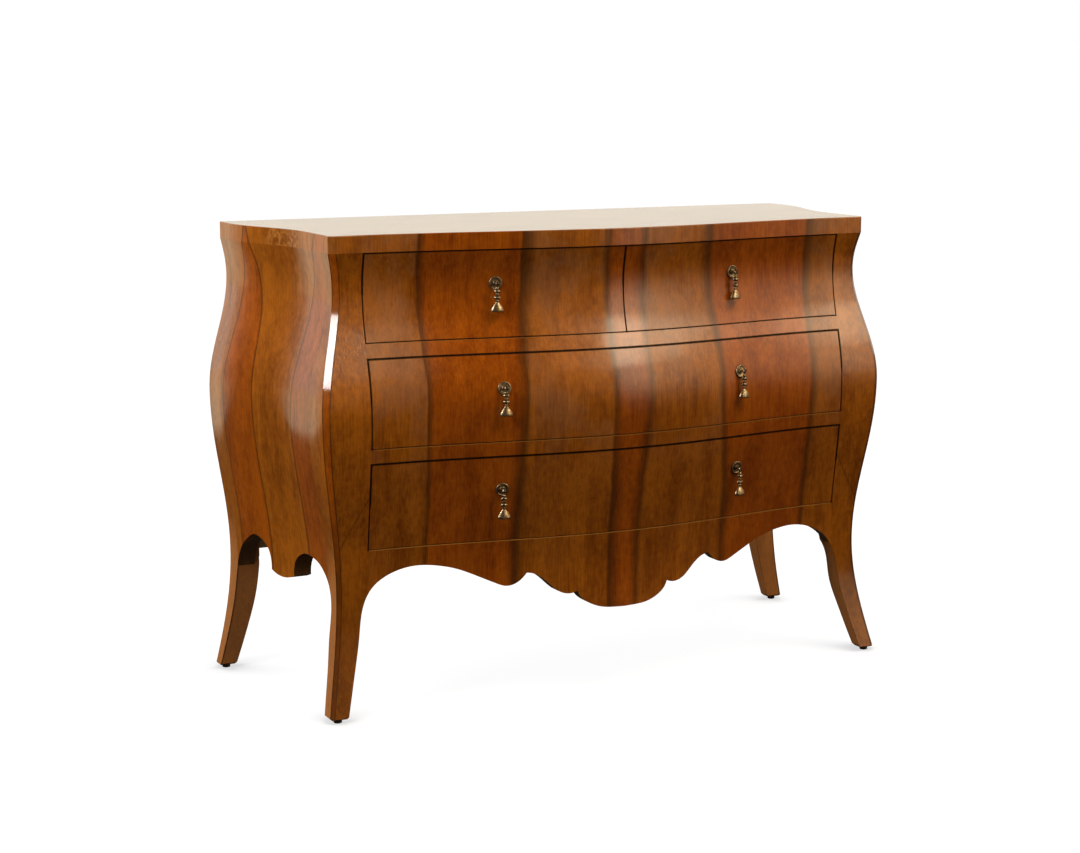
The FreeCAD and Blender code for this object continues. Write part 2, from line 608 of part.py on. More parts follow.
def make_drawer(mass, row, x0, x1, pulls):
    """The five wooden pieces of a drawer that fills x0 to x1 of its row."""
    opening_floor, opening_ceiling = OPENINGS[row]
    floor = opening_floor + RUN_CLEARANCE
    ceiling = opening_ceiling - HEADROOM
    # A drawer side stands in from an outer end by the guide's clearance, from the middle by the
    # partition's half thickness.
    left = x0 + SIDE_CLEARANCE if x0 < -FRONT_GAP else PARTITION_THICKNESS / 2.0 + RUN_CLEARANCE
    right = x1 - SIDE_CLEARANCE if x1 > FRONT_GAP else -PARTITION_THICKNESS / 2.0 - RUN_CLEARANCE

    span = box(x0, x1, -FAR, 0, opening_floor + FRONT_GAP, opening_ceiling - FRONT_GAP)
    blank = mass.common(span)
    front_parts = [blank.common(front_solid(FRONT_WALL))]
    pads = {}
    for name, pad_x0, pad_x1 in (("left", x0, x0 + PAD_WIDTH), ("right", x1 - PAD_WIDTH, x1)):
        pads[name] = max(pad_plane(row, pad_x0), pad_plane(row, pad_x1))
        pad = box(pad_x0, pad_x1, -FAR, pads[name], opening_floor, opening_ceiling)
        front_parts.append(blank.common(pad))
    front = fused(front_parts)

    bottom_low = floor + BOTTOM_RISE
    bottom_high = bottom_low + BOTTOM_THICKNESS
    groove_x0 = left + SIDE_WALL - BOTTOM_GROOVE
    groove_x1 = right - SIDE_WALL + BOTTOM_GROOVE
    behind_front = front_solid(FAR)
    behind_front.translate(Vector(0, FRONT_WALL - BOTTOM_GROOVE, 0))
    panel_cut = behind_front.copy()
    panel_cut.translate(Vector(0, GROOVE_CLEARANCE, 0))
    bottom = box(groove_x0 + GROOVE_CLEARANCE, groove_x1 - GROOVE_CLEARANCE, -FAR, DRAWER_REAR,
                 bottom_low, bottom_high).common(panel_cut)
    groove = box(groove_x0, groove_x1, -FAR, 0, bottom_low,
                 bottom_high + GROOVE_CLEARANCE).common(behind_front)
    front = front.cut(groove)

    left_side = box(left, left + SIDE_WALL, pads["left"], DRAWER_REAR, floor, ceiling).cut(groove)
    right_side = box(right - SIDE_WALL, right, pads["right"], DRAWER_REAR, floor, ceiling).cut(groove)
    back = box(left + SIDE_WALL, right - SIDE_WALL, DRAWER_REAR - BACK_WALL, DRAWER_REAR,
               bottom_high, ceiling - BACK_DROP)
    for pull in pulls:
        front = front.cut(pull["bore"])
    return {"front": front, "left_side": left_side, "right_side": right_side,
            "back": back, "bottom": bottom}


# ---- Pulls -------------------------------------------------------------------------------------
def pull_frame(row, x):
    """Where a pull stands on the front surface, and its axes: out, level and upright."""
    bottom, top = OPENINGS[row]
    z = (bottom + top) / 2.0 + PULL_RISE
    step = 1.0
    slope_x = (front_y(x + step, z) - front_y(x - step, z)) / (2.0 * step)
    slope_z = (front_y(x, z + step) - front_y(x, z - step)) / (2.0 * step)
    out = Vector(slope_x, -1.0, slope_z).normalize()
    level = Vector(1.0, slope_x, 0.0).normalize()
    return Vector(x, front_y(x, z), z), out, level


def ball_reach():
    """Surface to pin, so that every drop hangs clear of its drawer front."""
    backs = [(drop, BEAD_RADIUS * BEAD_FLATTENING) for drop in BEAD_DROPS]
    height = BELL_BOTTOM_DROP - BELL_TOP_DROP
    backs += [(BELL_TOP_DROP + offset, radius * BELL_FLATTENING)
              for radius, offset in scaled(BELL_CURVE, BELL_RADIUS, height)]
    reaches = []
    for row in OPENINGS:
        seat, out, _ = pull_frame(row, PULL_X)
        for drop, half_depth in backs:
            surface = front_y(PULL_X, seat.z - drop)
            reaches.append((seat.y - surface + half_depth + DROP_CLEARANCE) / abs(out.y))
    return max(reaches)


def place(shape, rotation, position):
    return shape.transformed(FreeCAD.Placement(position, rotation).toMatrix(), True)


def make_plate():
    """A round plate: a raised rim, a sunk ring and a boss round the shank."""
    bore = SHANK_RADIUS + SHANK_CLEARANCE
    return revolved([
        [(bore, -PLATE_SINK)],
        [(PLATE_RADIUS, -PLATE_SINK)],
        scaled(RIM_CURVE, PLATE_RADIUS, PLATE_HEIGHT),
        scaled(BOSS_CURVE, PLATE_RADIUS, PLATE_HEIGHT),
        [(bore, PLATE_HEIGHT)]])


def oval_loft(sections):
    """A solid through ellipses, each given as (half width, distance below the pin, flattening)."""
    wires = []
    for half_width, drop, flattening in sections:
        centre = Vector(0, 0, -drop)
        wide = centre.add(Vector(half_width, 0, 0))
        deep = centre.add(Vector(0, half_width * flattening, 0))
        wires.append(Part.Wire(Part.Ellipse(wide, deep, centre).toShape()))
    return Part.makeLoft(wires, True)


def neck(start, end):
    """A neck that swells a little between two flat ends."""
    middle = (start + end) / 2.0
    return oval_loft([(NECK_RADIUS, start, BEAD_FLATTENING),
                      (NECK_RADIUS + NECK_SWELL, middle, BEAD_FLATTENING),
                      (NECK_RADIUS, end, BEAD_FLATTENING)])


def bead(drop):
    """A bead between two flat ends as wide as the necks."""
    curve = [(radius, drop + offset, BEAD_FLATTENING)
             for radius, offset in scaled(BEAD_CURVE, BEAD_RADIUS, BEAD_HALF_HEIGHT)]
    return oval_loft([(NECK_RADIUS, drop - BEAD_HALF_HEIGHT, BEAD_FLATTENING)] + curve
                     + [(NECK_RADIUS, drop + BEAD_HALF_HEIGHT, BEAD_FLATTENING)])


def bell():
    """The bell below the lowest neck, flatter than the beads."""
    height = BELL_BOTTOM_DROP - BELL_TOP_DROP
    curve = [(radius, BELL_TOP_DROP + offset, BELL_FLATTENING)
             for radius, offset in scaled(BELL_CURVE, BELL_RADIUS, height)]
    return oval_loft([(NECK_RADIUS, BELL_TOP_DROP, BEAD_FLATTENING)] + curve)


def make_drop():
    """The hanging drop about its pin: a tongue, two beads between necks, and a bell."""
    neck_starts = [COLLAR_DROP] + [drop + BEAD_HALF_HEIGHT for drop in BEAD_DROPS]
    neck_ends = [drop - BEAD_HALF_HEIGHT for drop in BEAD_DROPS] + [BELL_TOP_DROP]
    pieces = [neck(start, end) for start, end in zip(neck_starts, neck_ends)]
    pieces += [bead(drop) for drop in BEAD_DROPS]
    pieces.append(bell())

    half = TONGUE_THICKNESS / 2.0
    eye = Part.makeCylinder(TONGUE_RADIUS, TONGUE_THICKNESS, Vector(-half, 0, 0), Vector(1, 0, 0))
    tongue = box(-half, half, -half, half, -COLLAR_DROP, 0)
    hole = Part.makeCylinder(PIN_RADIUS + PIN_CLEARANCE, TONGUE_THICKNESS, Vector(-half, 0, 0),
                             Vector(1, 0, 0))
    pieces.append(eye.fuse(tongue).cut(hole))
    return pieces[0].multiFuse(pieces[1:])


def make_pull(row, x, reach, plate, drop):
    """A pull's fixed pieces, its drop and the bore it needs in the drawer front."""
    seat, out, level = pull_frame(row, x)
    turn = FreeCAD.Rotation(level, out.cross(level), out, "ZXY")
    pin_centre = seat.add(out * reach)
    behind = FRONT_WALL * abs(out.y)
    tail = seat.sub(out * (behind + NUT_HEIGHT + THREAD_TAIL))

    upright_turn = FreeCAD.Rotation(level, Vector(0, 0, 1).cross(level), Vector(0, 0, 1), "ZXY")
    slot = box(-SLOT_WIDTH / 2.0, SLOT_WIDTH / 2.0, -2 * BALL_RADIUS, SLOT_RADIUS,
               -2 * BALL_RADIUS, SLOT_RADIUS)
    slot = place(slot, upright_turn, pin_centre)
    pin_half = level * (BALL_RADIUS - PIN_INSET)
    pin = cylinder(PIN_RADIUS, pin_centre.sub(pin_half), pin_centre.add(pin_half))
    post = cylinder(SHANK_RADIUS, tail, pin_centre).fuse(Part.makeSphere(BALL_RADIUS, pin_centre))
    post = post.cut(slot).cut(pin)

    nut_outline = [Vector(NUT_ACROSS / math.sqrt(3) * math.cos(math.radians(60 * i)),
                          NUT_ACROSS / math.sqrt(3) * math.sin(math.radians(60 * i)), 0)
                   for i in range(7)]
    nut = Part.Face(Part.makePolygon(nut_outline)).extrude(Vector(0, 0, -NUT_HEIGHT))
    nut = place(nut, turn, seat.sub(out * (behind + SHANK_CLEARANCE))).cut(
        cylinder(SHANK_RADIUS, tail, pin_centre))
    bore = cylinder(SHANK_RADIUS + SHANK_CLEARANCE, tail, seat.add(out * PLATE_SINK))
    seated_plate = place(plate, turn, seat).cut(front_solid(FRONT_WALL))
    return {"fixed": Part.makeCompound([seated_plate, post, pin, nut]),
            "drop": place(drop, upright_turn, pin_centre), "bore": bore,
            "pin_centre": pin_centre, "level": level}


# ---- Assembly ----------------------------------------------------------------------------------
DRAWERS = {
    "upper_left_drawer": ("upper", -OPENING_HALF_WIDTH + FRONT_GAP, -FRONT_GAP / 2.0,
                          {"upper_left": -PULL_X}),
    "upper_right_drawer": ("upper", FRONT_GAP / 2.0, OPENING_HALF_WIDTH - FRONT_GAP,
                           {"upper_right": PULL_X}),
    "middle_drawer": ("middle", -OPENING_HALF_WIDTH + FRONT_GAP, OPENING_HALF_WIDTH - FRONT_GAP,
                      {"middle_left": -PULL_X, "middle_right": PULL_X}),
    "lower_drawer": ("lower", -OPENING_HALF_WIDTH + FRONT_GAP, OPENING_HALF_WIDTH - FRONT_GAP,
                     {"lower_left": -PULL_X, "lower_right": PULL_X}),
}


def make_all():
    mass = make_mass()
    nodes = make_carcass(mass)
    plate = make_plate()
    drop = make_drop()
    reach = ball_reach()
    for drawer, (row, x0, x1, pull_places) in DRAWERS.items():
        pulls = {name: make_pull(row, x, reach, plate, drop) for name, x in pull_places.items()}
        for piece, shape in make_drawer(mass, row, x0, x1, pulls.values()).items():
            nodes[drawer + "_" + piece] = shape
        for name, pull in pulls.items():
            nodes[name + "_pull_mount"] = pull["fixed"]
            nodes[name + "_pull_drop"] = pull["drop"]
            centre = pull["pin_centre"]
            print("hinge", name, [round(v, 3) for v in centre], [round(v, 5) for v in pull["level"]])
    return nodes


def main():
    nodes = make_all()
    low = min(shape.optimalBoundingBox().YMin for shape in nodes.values())
    high = max(shape.optimalBoundingBox().YMax for shape in nodes.values())
    shift = -(low + high) / 2.0
    print("shift in y", round(shift, 3))
    os.makedirs("parts", exist_ok=True)
    for name, shape in nodes.items():
        shape.translate(Vector(0, shift, 0))
        shape.exportStep("parts/" + name + ".step")
        solids = shape.Solids
        print(name, len(solids), "solids", round(shape.Volume / 1000.0, 1), "cm3",
              "valid" if shape.isValid() else "NOT VALID")


main()
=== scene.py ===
# %% [markdown]
# A bombe chest, dressed
#
# The chest comes in as finished solids: posts, panels, rails, drawers and pulls, each one where
# it belongs.  This lesson gives every piece the finish of the real thing: figured veneer under
# a glossy lacquer outside, plain timber inside, antique brass on the pulls.  First the pieces
# are loaded and the size of the whole is noted.

# %% Load the chest
import math

import bpy
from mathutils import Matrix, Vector


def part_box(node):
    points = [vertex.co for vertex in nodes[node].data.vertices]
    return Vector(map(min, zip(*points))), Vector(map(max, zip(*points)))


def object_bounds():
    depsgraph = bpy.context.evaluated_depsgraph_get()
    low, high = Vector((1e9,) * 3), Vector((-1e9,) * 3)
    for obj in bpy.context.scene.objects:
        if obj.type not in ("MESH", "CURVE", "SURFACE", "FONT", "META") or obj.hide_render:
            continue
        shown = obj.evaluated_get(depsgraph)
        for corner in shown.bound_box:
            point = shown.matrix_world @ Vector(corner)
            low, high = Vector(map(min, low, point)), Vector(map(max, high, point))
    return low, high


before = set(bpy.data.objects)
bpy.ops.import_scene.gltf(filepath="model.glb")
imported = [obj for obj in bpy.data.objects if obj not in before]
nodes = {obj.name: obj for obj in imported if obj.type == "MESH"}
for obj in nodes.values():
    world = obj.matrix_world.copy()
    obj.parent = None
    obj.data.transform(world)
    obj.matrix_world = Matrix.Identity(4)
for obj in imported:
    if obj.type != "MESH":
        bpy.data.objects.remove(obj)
solid_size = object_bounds()
chest_low, chest_high = solid_size
print("pieces:", len(nodes), "size:", [round(b - a, 4) for a, b in zip(chest_low, chest_high)])

# %% [markdown]
# The eye
#
# A long lens a little above the chest keeps its upright lines almost parallel.  The camera
# stands to the left, 26 degrees off the middle, and looks down by 9 degrees.  Aiming it with a
# direction is steadier than three angles, because a camera looks along its own -Z with +Y up.

# %% Camera
LENS = 73.5
SENSOR_WIDTH = 36.0
CAMERA_PLACE = Vector((-2.003, -3.9102, 1.212))
CAMERA_YAW = math.radians(26.36)
CAMERA_DIP = math.radians(9.42)

bpy.ops.object.camera_add(location=CAMERA_PLACE)
camera = bpy.context.object
camera.name = "studio_camera"
aim = Vector((math.sin(CAMERA_YAW) * math.cos(CAMERA_DIP),
              math.cos(CAMERA_YAW) * math.cos(CAMERA_DIP), -math.sin(CAMERA_DIP)))
camera.rotation_euler = aim.to_track_quat("-Z", "Y").to_euler()
camera.data.lens = LENS
camera.data.sensor_width = SENSOR_WIDTH
bpy.context.scene.camera = camera
bpy.context.scene.view_settings.view_transform = "Standard"
print("camera", [round(v, 3) for v in camera.location])

# %% [markdown]
# Helpers for shaders
#
# Every finish below is a small network of nodes.  Written out in full, each node takes several
# lines, so these helpers put a node in place and wire it in one.  The soft step does most of
# the work: it goes smoothly from one value to another while something else, such as a height,
# runs between two marks.

# %% Helpers: nodes
BLACK = (0, 0, 0, 1)
WHITE = (1, 1, 1, 1)


def add_node(tree, kind, values=None, **settings):
    """A node with its settings; values are numbers, colours or the sockets that feed it."""
    made = tree.nodes.new(kind)
    for name, setting in settings.items():
        setattr(made, name, setting)
    for name, value in (values or {}).items():
        if isinstance(value, bpy.types.NodeSocket):
            tree.links.new(value, made.inputs[name])
        else:
            made.inputs[name].default_value = value
    return made


def calculate(tree, operation, first, second=0.0):
    """One sum on numbers or sockets."""
    return add_node(tree, "ShaderNodeMath", {0: first, 1: second}, operation=operation).outputs[0]


def total(tree, first, *others):
    """Several numbers or sockets added in turn."""
    for other in others:
        first = calculate(tree, "ADD", first, other)
    return first


def product(tree, first, *others):
    """Several numbers or sockets multiplied in turn."""
    for other in others:
        first = calculate(tree, "MULTIPLY", first, other)
    return first


def rest_of(tree, share):
    """What a share leaves of the whole."""
    return calculate(tree, "SUBTRACT", 1.0, share)


def on_vectors(tree, operation, first, second=(0.0, 0.0, 0.0)):
    """One sum on vectors."""
    values = {0: first, 1: second}
    return add_node(tree, "ShaderNodeVectorMath", values, operation=operation).outputs[0]


def split(tree, vector):
    """The three parts of a vector socket, read as X, Y and Z."""
    return add_node(tree, "ShaderNodeSeparateXYZ", {0: vector}).outputs


print("helpers for nodes ready")

# %% Helpers: patterns
def soft_step(tree, value, start, end, low=0.0, high=1.0):
    """A smooth change from low to high while value goes from start to end."""
    made = add_node(tree, "ShaderNodeMapRange", {0: value, 1: start, 2: end, 3: low, 4: high},
                    interpolation_type="SMOOTHSTEP")
    return made.outputs[0]


def mix_colour(tree, share, first, second, blend="MIX", clamp=True):
    """Two colours mixed by a share."""
    made = add_node(tree, "ShaderNodeMix", {0: share, 6: first, 7: second},
                    data_type="RGBA", blend_type=blend, clamp_factor=clamp)
    return made.outputs[2]


def noise(tree, place, scale, detail, roughness=0.5, distortion=0.0):
    """A cloudy pattern between 0 and 1."""
    return add_node(tree, "ShaderNodeTexNoise", {
        "Vector": place, "Scale": scale, "Detail": detail, "Roughness": roughness,
        "Distortion": distortion}).outputs[0]


def relief(tree, height, strength, distance, **under):
    """The normal of a surface with small bumps, on top of another normal if one is given."""
    return add_node(tree, "ShaderNodeBump", {
        "Height": height, "Strength": strength, "Distance": distance, **under}).outputs[0]


print("helpers for patterns ready")

# %% Helpers: groups and materials
def new_group(name, inputs, outputs):
    """A shader node group with named sockets, and its inner input and output nodes."""
    group = bpy.data.node_groups.new(name, "ShaderNodeTree")
    for label, kind, start in inputs:
        socket = group.interface.new_socket(label, in_out="INPUT", socket_type="NodeSocket" + kind)
        if start is not None:
            socket.default_value = start
    for label in outputs:
        group.interface.new_socket(label, in_out="OUTPUT", socket_type="NodeSocketFloat")
    return group, group.nodes.new("NodeGroupInput").outputs, group.nodes.new("NodeGroupOutput")


def put_out(group, result, sockets):
    """Wires to the named outputs of a group."""
    for name, socket in sockets.items():
        group.links.new(socket, result.inputs[name])
    print("group", group.name, "puts out", ", ".join(sockets))


def use_group(tree, group, values):
    """An instance of a group; its outputs are read by name."""
    return add_node(tree, "ShaderNodeGroup", values, node_tree=group).outputs


def new_material(name):
    """An empty material, its tree and the place of each point on the piece."""
    material = bpy.data.materials.new(name)
    material.use_nodes = True
    tree = material.node_tree
    tree.nodes.clear()
    place = add_node(tree, "ShaderNodeTexCoord").outputs["Object"]
    return material, tree, place


def close_material(tree, values):
    """The surface of a material, wired to its output."""
    surface = add_node(tree, "ShaderNodeBsdfPrincipled", values)
    add_node(tree, "ShaderNodeOutputMaterial", {"Surface": surface.outputs[0]})


print("helpers for groups and materials ready")

# %% [markdown]
# What the lacquer mirrors
#
# Lacquer looks deep because of what it mirrors.  In front at the right stand tall warm screens,
# sharp at their left side and fading out downwards.  A direction is read as two angles, as on a
# compass: around from the front, right positive, and up.  The room needs the screens, and so
# does the floor, whose far end is in the mirrored picture too, so they are a group that takes a
# direction.

# %% Group: warm screens
WARM = (1.0, 0.87, 0.61, 1)
# where each screen starts and ends around, and how much brighter the mirrored picture gets there
SCREENS = [(10, 14.5, 0.9), (24, 26, 9.2), (33.5, 36.5, -4.4), (42, 48, -1.6), (48, 54, -1.6),
           (60, 110, -2.0)]
SHARP_EDGE = (13.5, 19.5)     # lower edge of the screens, in degrees up
SHARP_SHARE = 0.65            # of their strength; the rest fades out slowly
SLOW_EDGE = (-20, 16)         # between these two
SLOW_BEND = 1.5               # more than 1 keeps the slow fade low for longer
UPPER_EDGE = (25, 38)         # above this only a little is left of the screens
UPPER_SHARE = 0.1

warm_screens, given, result = new_group("warm_screens", [("Direction", "Vector", None)],
                                        ["Around", "Strength"])
tree = warm_screens
toward = split(tree, given["Direction"])
around = calculate(tree, "DEGREES", calculate(tree, "ARCTAN2", toward["X"],
                                              product(tree, toward["Y"], -1.0)))
up = calculate(tree, "DEGREES", calculate(tree, "ARCSINE", toward["Z"]))
strength = total(tree, *(soft_step(tree, around, start, end, 0.0, brighter)
                         for start, end, brighter in SCREENS))
slow = calculate(tree, "POWER", soft_step(tree, up, *SLOW_EDGE), SLOW_BEND)
rise = total(tree, product(tree, slow, 1.0 - SHARP_SHARE),
             soft_step(tree, up, *SHARP_EDGE, 0.0, SHARP_SHARE))
upper_end = soft_step(tree, up, *UPPER_EDGE, 1.0, UPPER_SHARE)
put_out(tree, result, {"Around": around, "Strength": product(tree, strength, rise, upper_end)})

# %% [markdown]
# The floor
#
# Furniture is shown on a white sweep: floor and background run into each other, and only faint
# shadows tell where the legs stand.  To the eye the floor here is nearly white by itself, and
# the lamps add the rest.  Ambient occlusion, which tells how much of the space above a point is
# open, takes a little away close to the feet, as a painted contact shadow.

# %% Floor: what the eye sees
FLOOR_SIZE = 30.0
FLOOR_GLOW = 0.96             # glow of the floor near the chest, before the lamps
FLOOR_WHITE = (0.08, 0.08, 0.08, 1)
GLOW_EDGE = (1.2, 3.0)        # between these distances the glow grows to full white
CONTACT_SHADOW_REACH = 0.22
CONTACT_SHADOW_DEPTH = 0.30
CONTACT_SHADOW_OPEN = (0.60, 1.0)     # open share of the space above, from the full painted shadow to none

bpy.ops.object.select_all(action="DESELECT")
bpy.ops.mesh.primitive_plane_add(size=FLOOR_SIZE, location=(0, 0, 0))
floor = bpy.context.object
floor.name = "studio_floor"

floor_paint, tree, place = new_material("floor_white")
floor.data.materials.append(floor_paint)
reach = add_node(tree, "ShaderNodeVectorMath", {0: place}, operation="LENGTH").outputs["Value"]
open_share = add_node(tree, "ShaderNodeAmbientOcclusion", {"Distance": CONTACT_SHADOW_REACH}).outputs["AO"]
# the glow, less a painted contact shadow close to the feet
glow_strength = calculate(tree, "SUBTRACT", soft_step(tree, reach, *GLOW_EDGE, FLOOR_GLOW, 1.0),
                          soft_step(tree, open_share, *CONTACT_SHADOW_OPEN, CONTACT_SHADOW_DEPTH, 0.0))
glow = add_node(tree, "ShaderNodeEmission", {"Color": WHITE, "Strength": glow_strength})
lit = add_node(tree, "ShaderNodeBsdfDiffuse", {"Color": FLOOR_WHITE})
seen = add_node(tree, "ShaderNodeAddShader", {0: lit.outputs[0], 1: glow.outputs[0]})
print("floor", FLOOR_SIZE, "m square")

# %% [markdown]
# In reflections the floor is dark near the chest, as the floor of a real studio is.  It turns
# into a cream sweep some way behind the chest and into the screens in front.  It also throws
# soft light back at the legs and the undersides.  Light Path tells which kind of ray asks.

# %% Floor: what the lacquer mirrors
FLOOR_DARK = 0.02
FLOOR_BOUNCE = 0.19           # soft light that comes back from the floor
SWEEP_EDGE = (1.9, 2.6)       # distance behind, where the mirrored floor turns into the sweep
SWEEP_WIDTH = (0.55, 1.5)     # sideways over backwards, where the sweep fades out
SWEEP_BRIGHT = 0.80
EYE_LEVEL = (0.0, -0.2, 0.65)   # the part of the front that mirrors the floor

ray = add_node(tree, "ShaderNodeLightPath").outputs
on_floor = split(tree, place)
aside = calculate(tree, "DIVIDE", calculate(tree, "ABSOLUTE", on_floor["X"]), on_floor["Y"])
sweep_share = product(tree, soft_step(tree, on_floor["Y"], *SWEEP_EDGE),
                      soft_step(tree, aside, *SWEEP_WIDTH, 1.0, 0.0))
sweep_glow = soft_step(tree, sweep_share, 0.0, 1.0, FLOOR_DARK, SWEEP_BRIGHT)
from_eye = on_vectors(tree, "NORMALIZE", on_vectors(tree, "SUBTRACT", place, EYE_LEVEL))
screen_glow = use_group(tree, warm_screens, {"Direction": from_eye})["Strength"]
mirrored = product(tree, calculate(tree, "MAXIMUM", sweep_glow, screen_glow), ray["Is Glossy Ray"])
bounce = product(tree, ray["Is Diffuse Ray"], FLOOR_BOUNCE)
sweep = add_node(tree, "ShaderNodeEmission", {"Color": WARM,
                                              "Strength": total(tree, mirrored, bounce)})
either = add_node(tree, "ShaderNodeMixShader", {0: ray["Is Camera Ray"], 1: sweep.outputs[0],
                                                2: seen.outputs[0]})
add_node(tree, "ShaderNodeOutputMaterial", {"Surface": either.outputs[0]})
print("mirrored floor: sweep from", SWEEP_EDGE[0], "m behind")

# %% [markdown]
# The room
#
# Besides the screens, the lacquer mirrors a cream sweep behind the chest, and a dark room in
# front and to the left.  To the eye the background stays plain white, and for soft light the
# room is dim and a little brighter at its sides.

# %% World
DARK_ROOM = 0.005
CREAM = (1.0, 0.97, 0.86, 1)
CREAM_BRIGHT = 0.86
CREAM_LEFT = (-122, -172)     # directions around, between which the dark room turns cream
CREAM_RIGHT = (100, 138)
ROOM_LIGHT = 0.13             # soft light from everywhere
RIGHT_LIGHT = 0.3             # and more of it from the right
LEFT_LIGHT = 0.4              # and from the left
SIDE_REACH = (0.3, 0.9)       # sideways part of a direction, from the middle to the sides

world = bpy.data.worlds.new("studio")
bpy.context.scene.world = world
world.use_nodes = True
tree = world.node_tree
tree.nodes.clear()
direction = add_node(tree, "ShaderNodeTexCoord").outputs["Generated"]
screens = use_group(tree, warm_screens, {"Direction": direction})
behind = calculate(
    tree, "MAXIMUM", soft_step(tree, screens["Around"], *CREAM_LEFT, DARK_ROOM, CREAM_BRIGHT),
    soft_step(tree, screens["Around"], *CREAM_RIGHT, DARK_ROOM, CREAM_BRIGHT))
cream = mix_colour(tree, behind, BLACK, CREAM)
warm = mix_colour(tree, screens["Strength"], BLACK, WARM, clamp=False)
mirrored_room = mix_colour(tree, 1.0, cream, warm, blend="ADD")

to_right = split(tree, direction)["X"]
to_left = product(tree, to_right, -1.0)
soft_light = calculate(tree, "MAXIMUM",
                       soft_step(tree, to_right, *SIDE_REACH, ROOM_LIGHT, RIGHT_LIGHT),
                       soft_step(tree, to_left, *SIDE_REACH, ROOM_LIGHT, LEFT_LIGHT))
ray = add_node(tree, "ShaderNodeLightPath").outputs
mirrored_rays = calculate(tree, "MAXIMUM", ray["Is Glossy Ray"], ray["Is Transmission Ray"])
room = mix_colour(tree, mirrored_rays, soft_light, mirrored_room)
room = mix_colour(tree, ray["Is Camera Ray"], room, WHITE)
background = add_node(tree, "ShaderNodeBackground", {"Color": room, "Strength": 1.0})
add_node(tree, "ShaderNodeOutputWorld", {"Surface": background.outputs[0]})
print("world ready")

# %% [markdown]
# Lamps
#
# The key box stands at the left, so the canted corner catches it as a crisp white line.  Two
# warm boxes hang in front at the right, above the screens.  Three more, overhead, high at the
# right and behind at the left, shape the swellings: what faces up is bright, and what turns
# under is dark.  Only the key is mirrored, because the others would lie on the lacquer of the
# top as blank white patches.

# %% Soft boxes
MIDDLE = (0.0, 0.0, 0.6)
FRONT_MIDDLE = (0.03, -0.26, 0.68)
LEFT_CORNER = (-0.56, -0.2, 0.69)
PALE_WARM = (1.0, 0.93, 0.84)


def soft_box(name, around, up, distance, size, watts, colour=(1, 1, 1), aim_at=MIDDLE,
             mirrored=False):
    """An area lamp at two angles and a distance from the place that it looks at.  Its size is its
    width and its height."""
    around, up = math.radians(around), math.radians(up)
    toward_lamp = Vector((math.sin(around) * math.cos(up), -math.cos(around) * math.cos(up),
                          math.sin(up)))
    bpy.ops.object.light_add(type="AREA", location=Vector(aim_at) + toward_lamp * distance)
    lamp = bpy.context.object
    lamp.name = name
    lamp.rotation_euler = (-toward_lamp).to_track_quat("-Z", "Y").to_euler()
    lamp.data.shape = "RECTANGLE"
    lamp.data.size, lamp.data.size_y = size
    lamp.data.energy = watts
    lamp.data.color = colour
    lamp.visible_glossy = mirrored


# name, degrees around and up, metres away, width and height, watts
soft_box("key_box", -76, 32, 2.7, (0.55, 1.45), 66, aim_at=LEFT_CORNER, mirrored=True)
soft_box("warm_strip", 31, 52, 4.0, (0.66, 2.0), 52, WARM[:3], FRONT_MIDDLE)
soft_box("warm_box", 43, 52, 4.0, (1.05, 2.0), 34, WARM[:3], FRONT_MIDDLE)
soft_box("overhead_box", 0, 80, 3.2, (2.6, 1.6), 36)
soft_box("right_box", 62, 60, 3.5, (1.6, 1.6), 140, PALE_WARM)
soft_box("back_box", -140, 32, 3.5, (2.0, 1.5), 100)

# %% [markdown]
# Figure of the wood
#
# Walnut veneer shows several things at once: soft light and dark bands along the grain,
# hair-fine streaks inside them, a faint shimmer across, uneven patches as wide as a hand, and
# short dark pores.  All come from noise, drawn out along the grain or not.  Every wooden finish
# needs them, so they are built once as a group and placed with their own sizes.

# %% Group: wood figure
UPRIGHT_GRAIN = (1.0, 1.0, 0.045)   # the small number draws the noise out along that axis
SWAY_SCALE = 5.0
GRAIN_SWAY = (0.010, 0.010, 0.010)  # how far the grain bends aside
STREAK_SCALE = 380.0
RIPPLE_SCALE = 75.0
PATCH_SCALE = 15.0
PATCH_STRETCH = (1.0, 1.0, 0.5)
PORE_SCALE = 760.0
BAND_EDGE = (0.33, 0.67)            # part of each noise that goes from dark to light
STREAK_EDGE = (0.34, 0.66)
RIPPLE_EDGE = (0.32, 0.68)
PATCH_EDGE = (0.36, 0.64)
PORE_EDGE = (0.60, 0.72)            # only the peaks of the noise become pores
BAND_SHARE = 0.34                   # of the tone
STREAK_SHARE = 0.50
PATCH_DEPTH = 0.16                  # paler or darker by this much
STREAK_HEIGHT = 0.5                 # over the depth of a pore

wood_figure, given, result = new_group(
    "wood_figure", [("Place", "Vector", None), ("Stretch", "Vector", UPRIGHT_GRAIN),
                    ("Band Scale", "Float", 34.0), ("Shimmer", "Float", 0.22)],
    ["Tone", "Pores", "Height"])
tree = wood_figure
sway = add_node(tree, "ShaderNodeTexNoise", {
    "Vector": given["Place"], "Scale": SWAY_SCALE, "Detail": 1.0}).outputs["Color"]
swayed = on_vectors(tree, "ADD", given["Place"], on_vectors(tree, "MULTIPLY", sway, GRAIN_SWAY))
drawn_out = on_vectors(tree, "MULTIPLY", swayed, given["Stretch"])
widened = on_vectors(tree, "MULTIPLY", swayed, PATCH_STRETCH)
bands = noise(tree, drawn_out, given["Band Scale"], detail=3.0, roughness=0.6, distortion=0.2)
streaks = noise(tree, drawn_out, STREAK_SCALE, detail=4.0, roughness=0.72)
ripple = noise(tree, swayed, RIPPLE_SCALE, detail=3.0, roughness=0.6)
patches = noise(tree, widened, PATCH_SCALE, detail=3.0, roughness=0.6)
flecks = noise(tree, drawn_out, PORE_SCALE, detail=1.0)
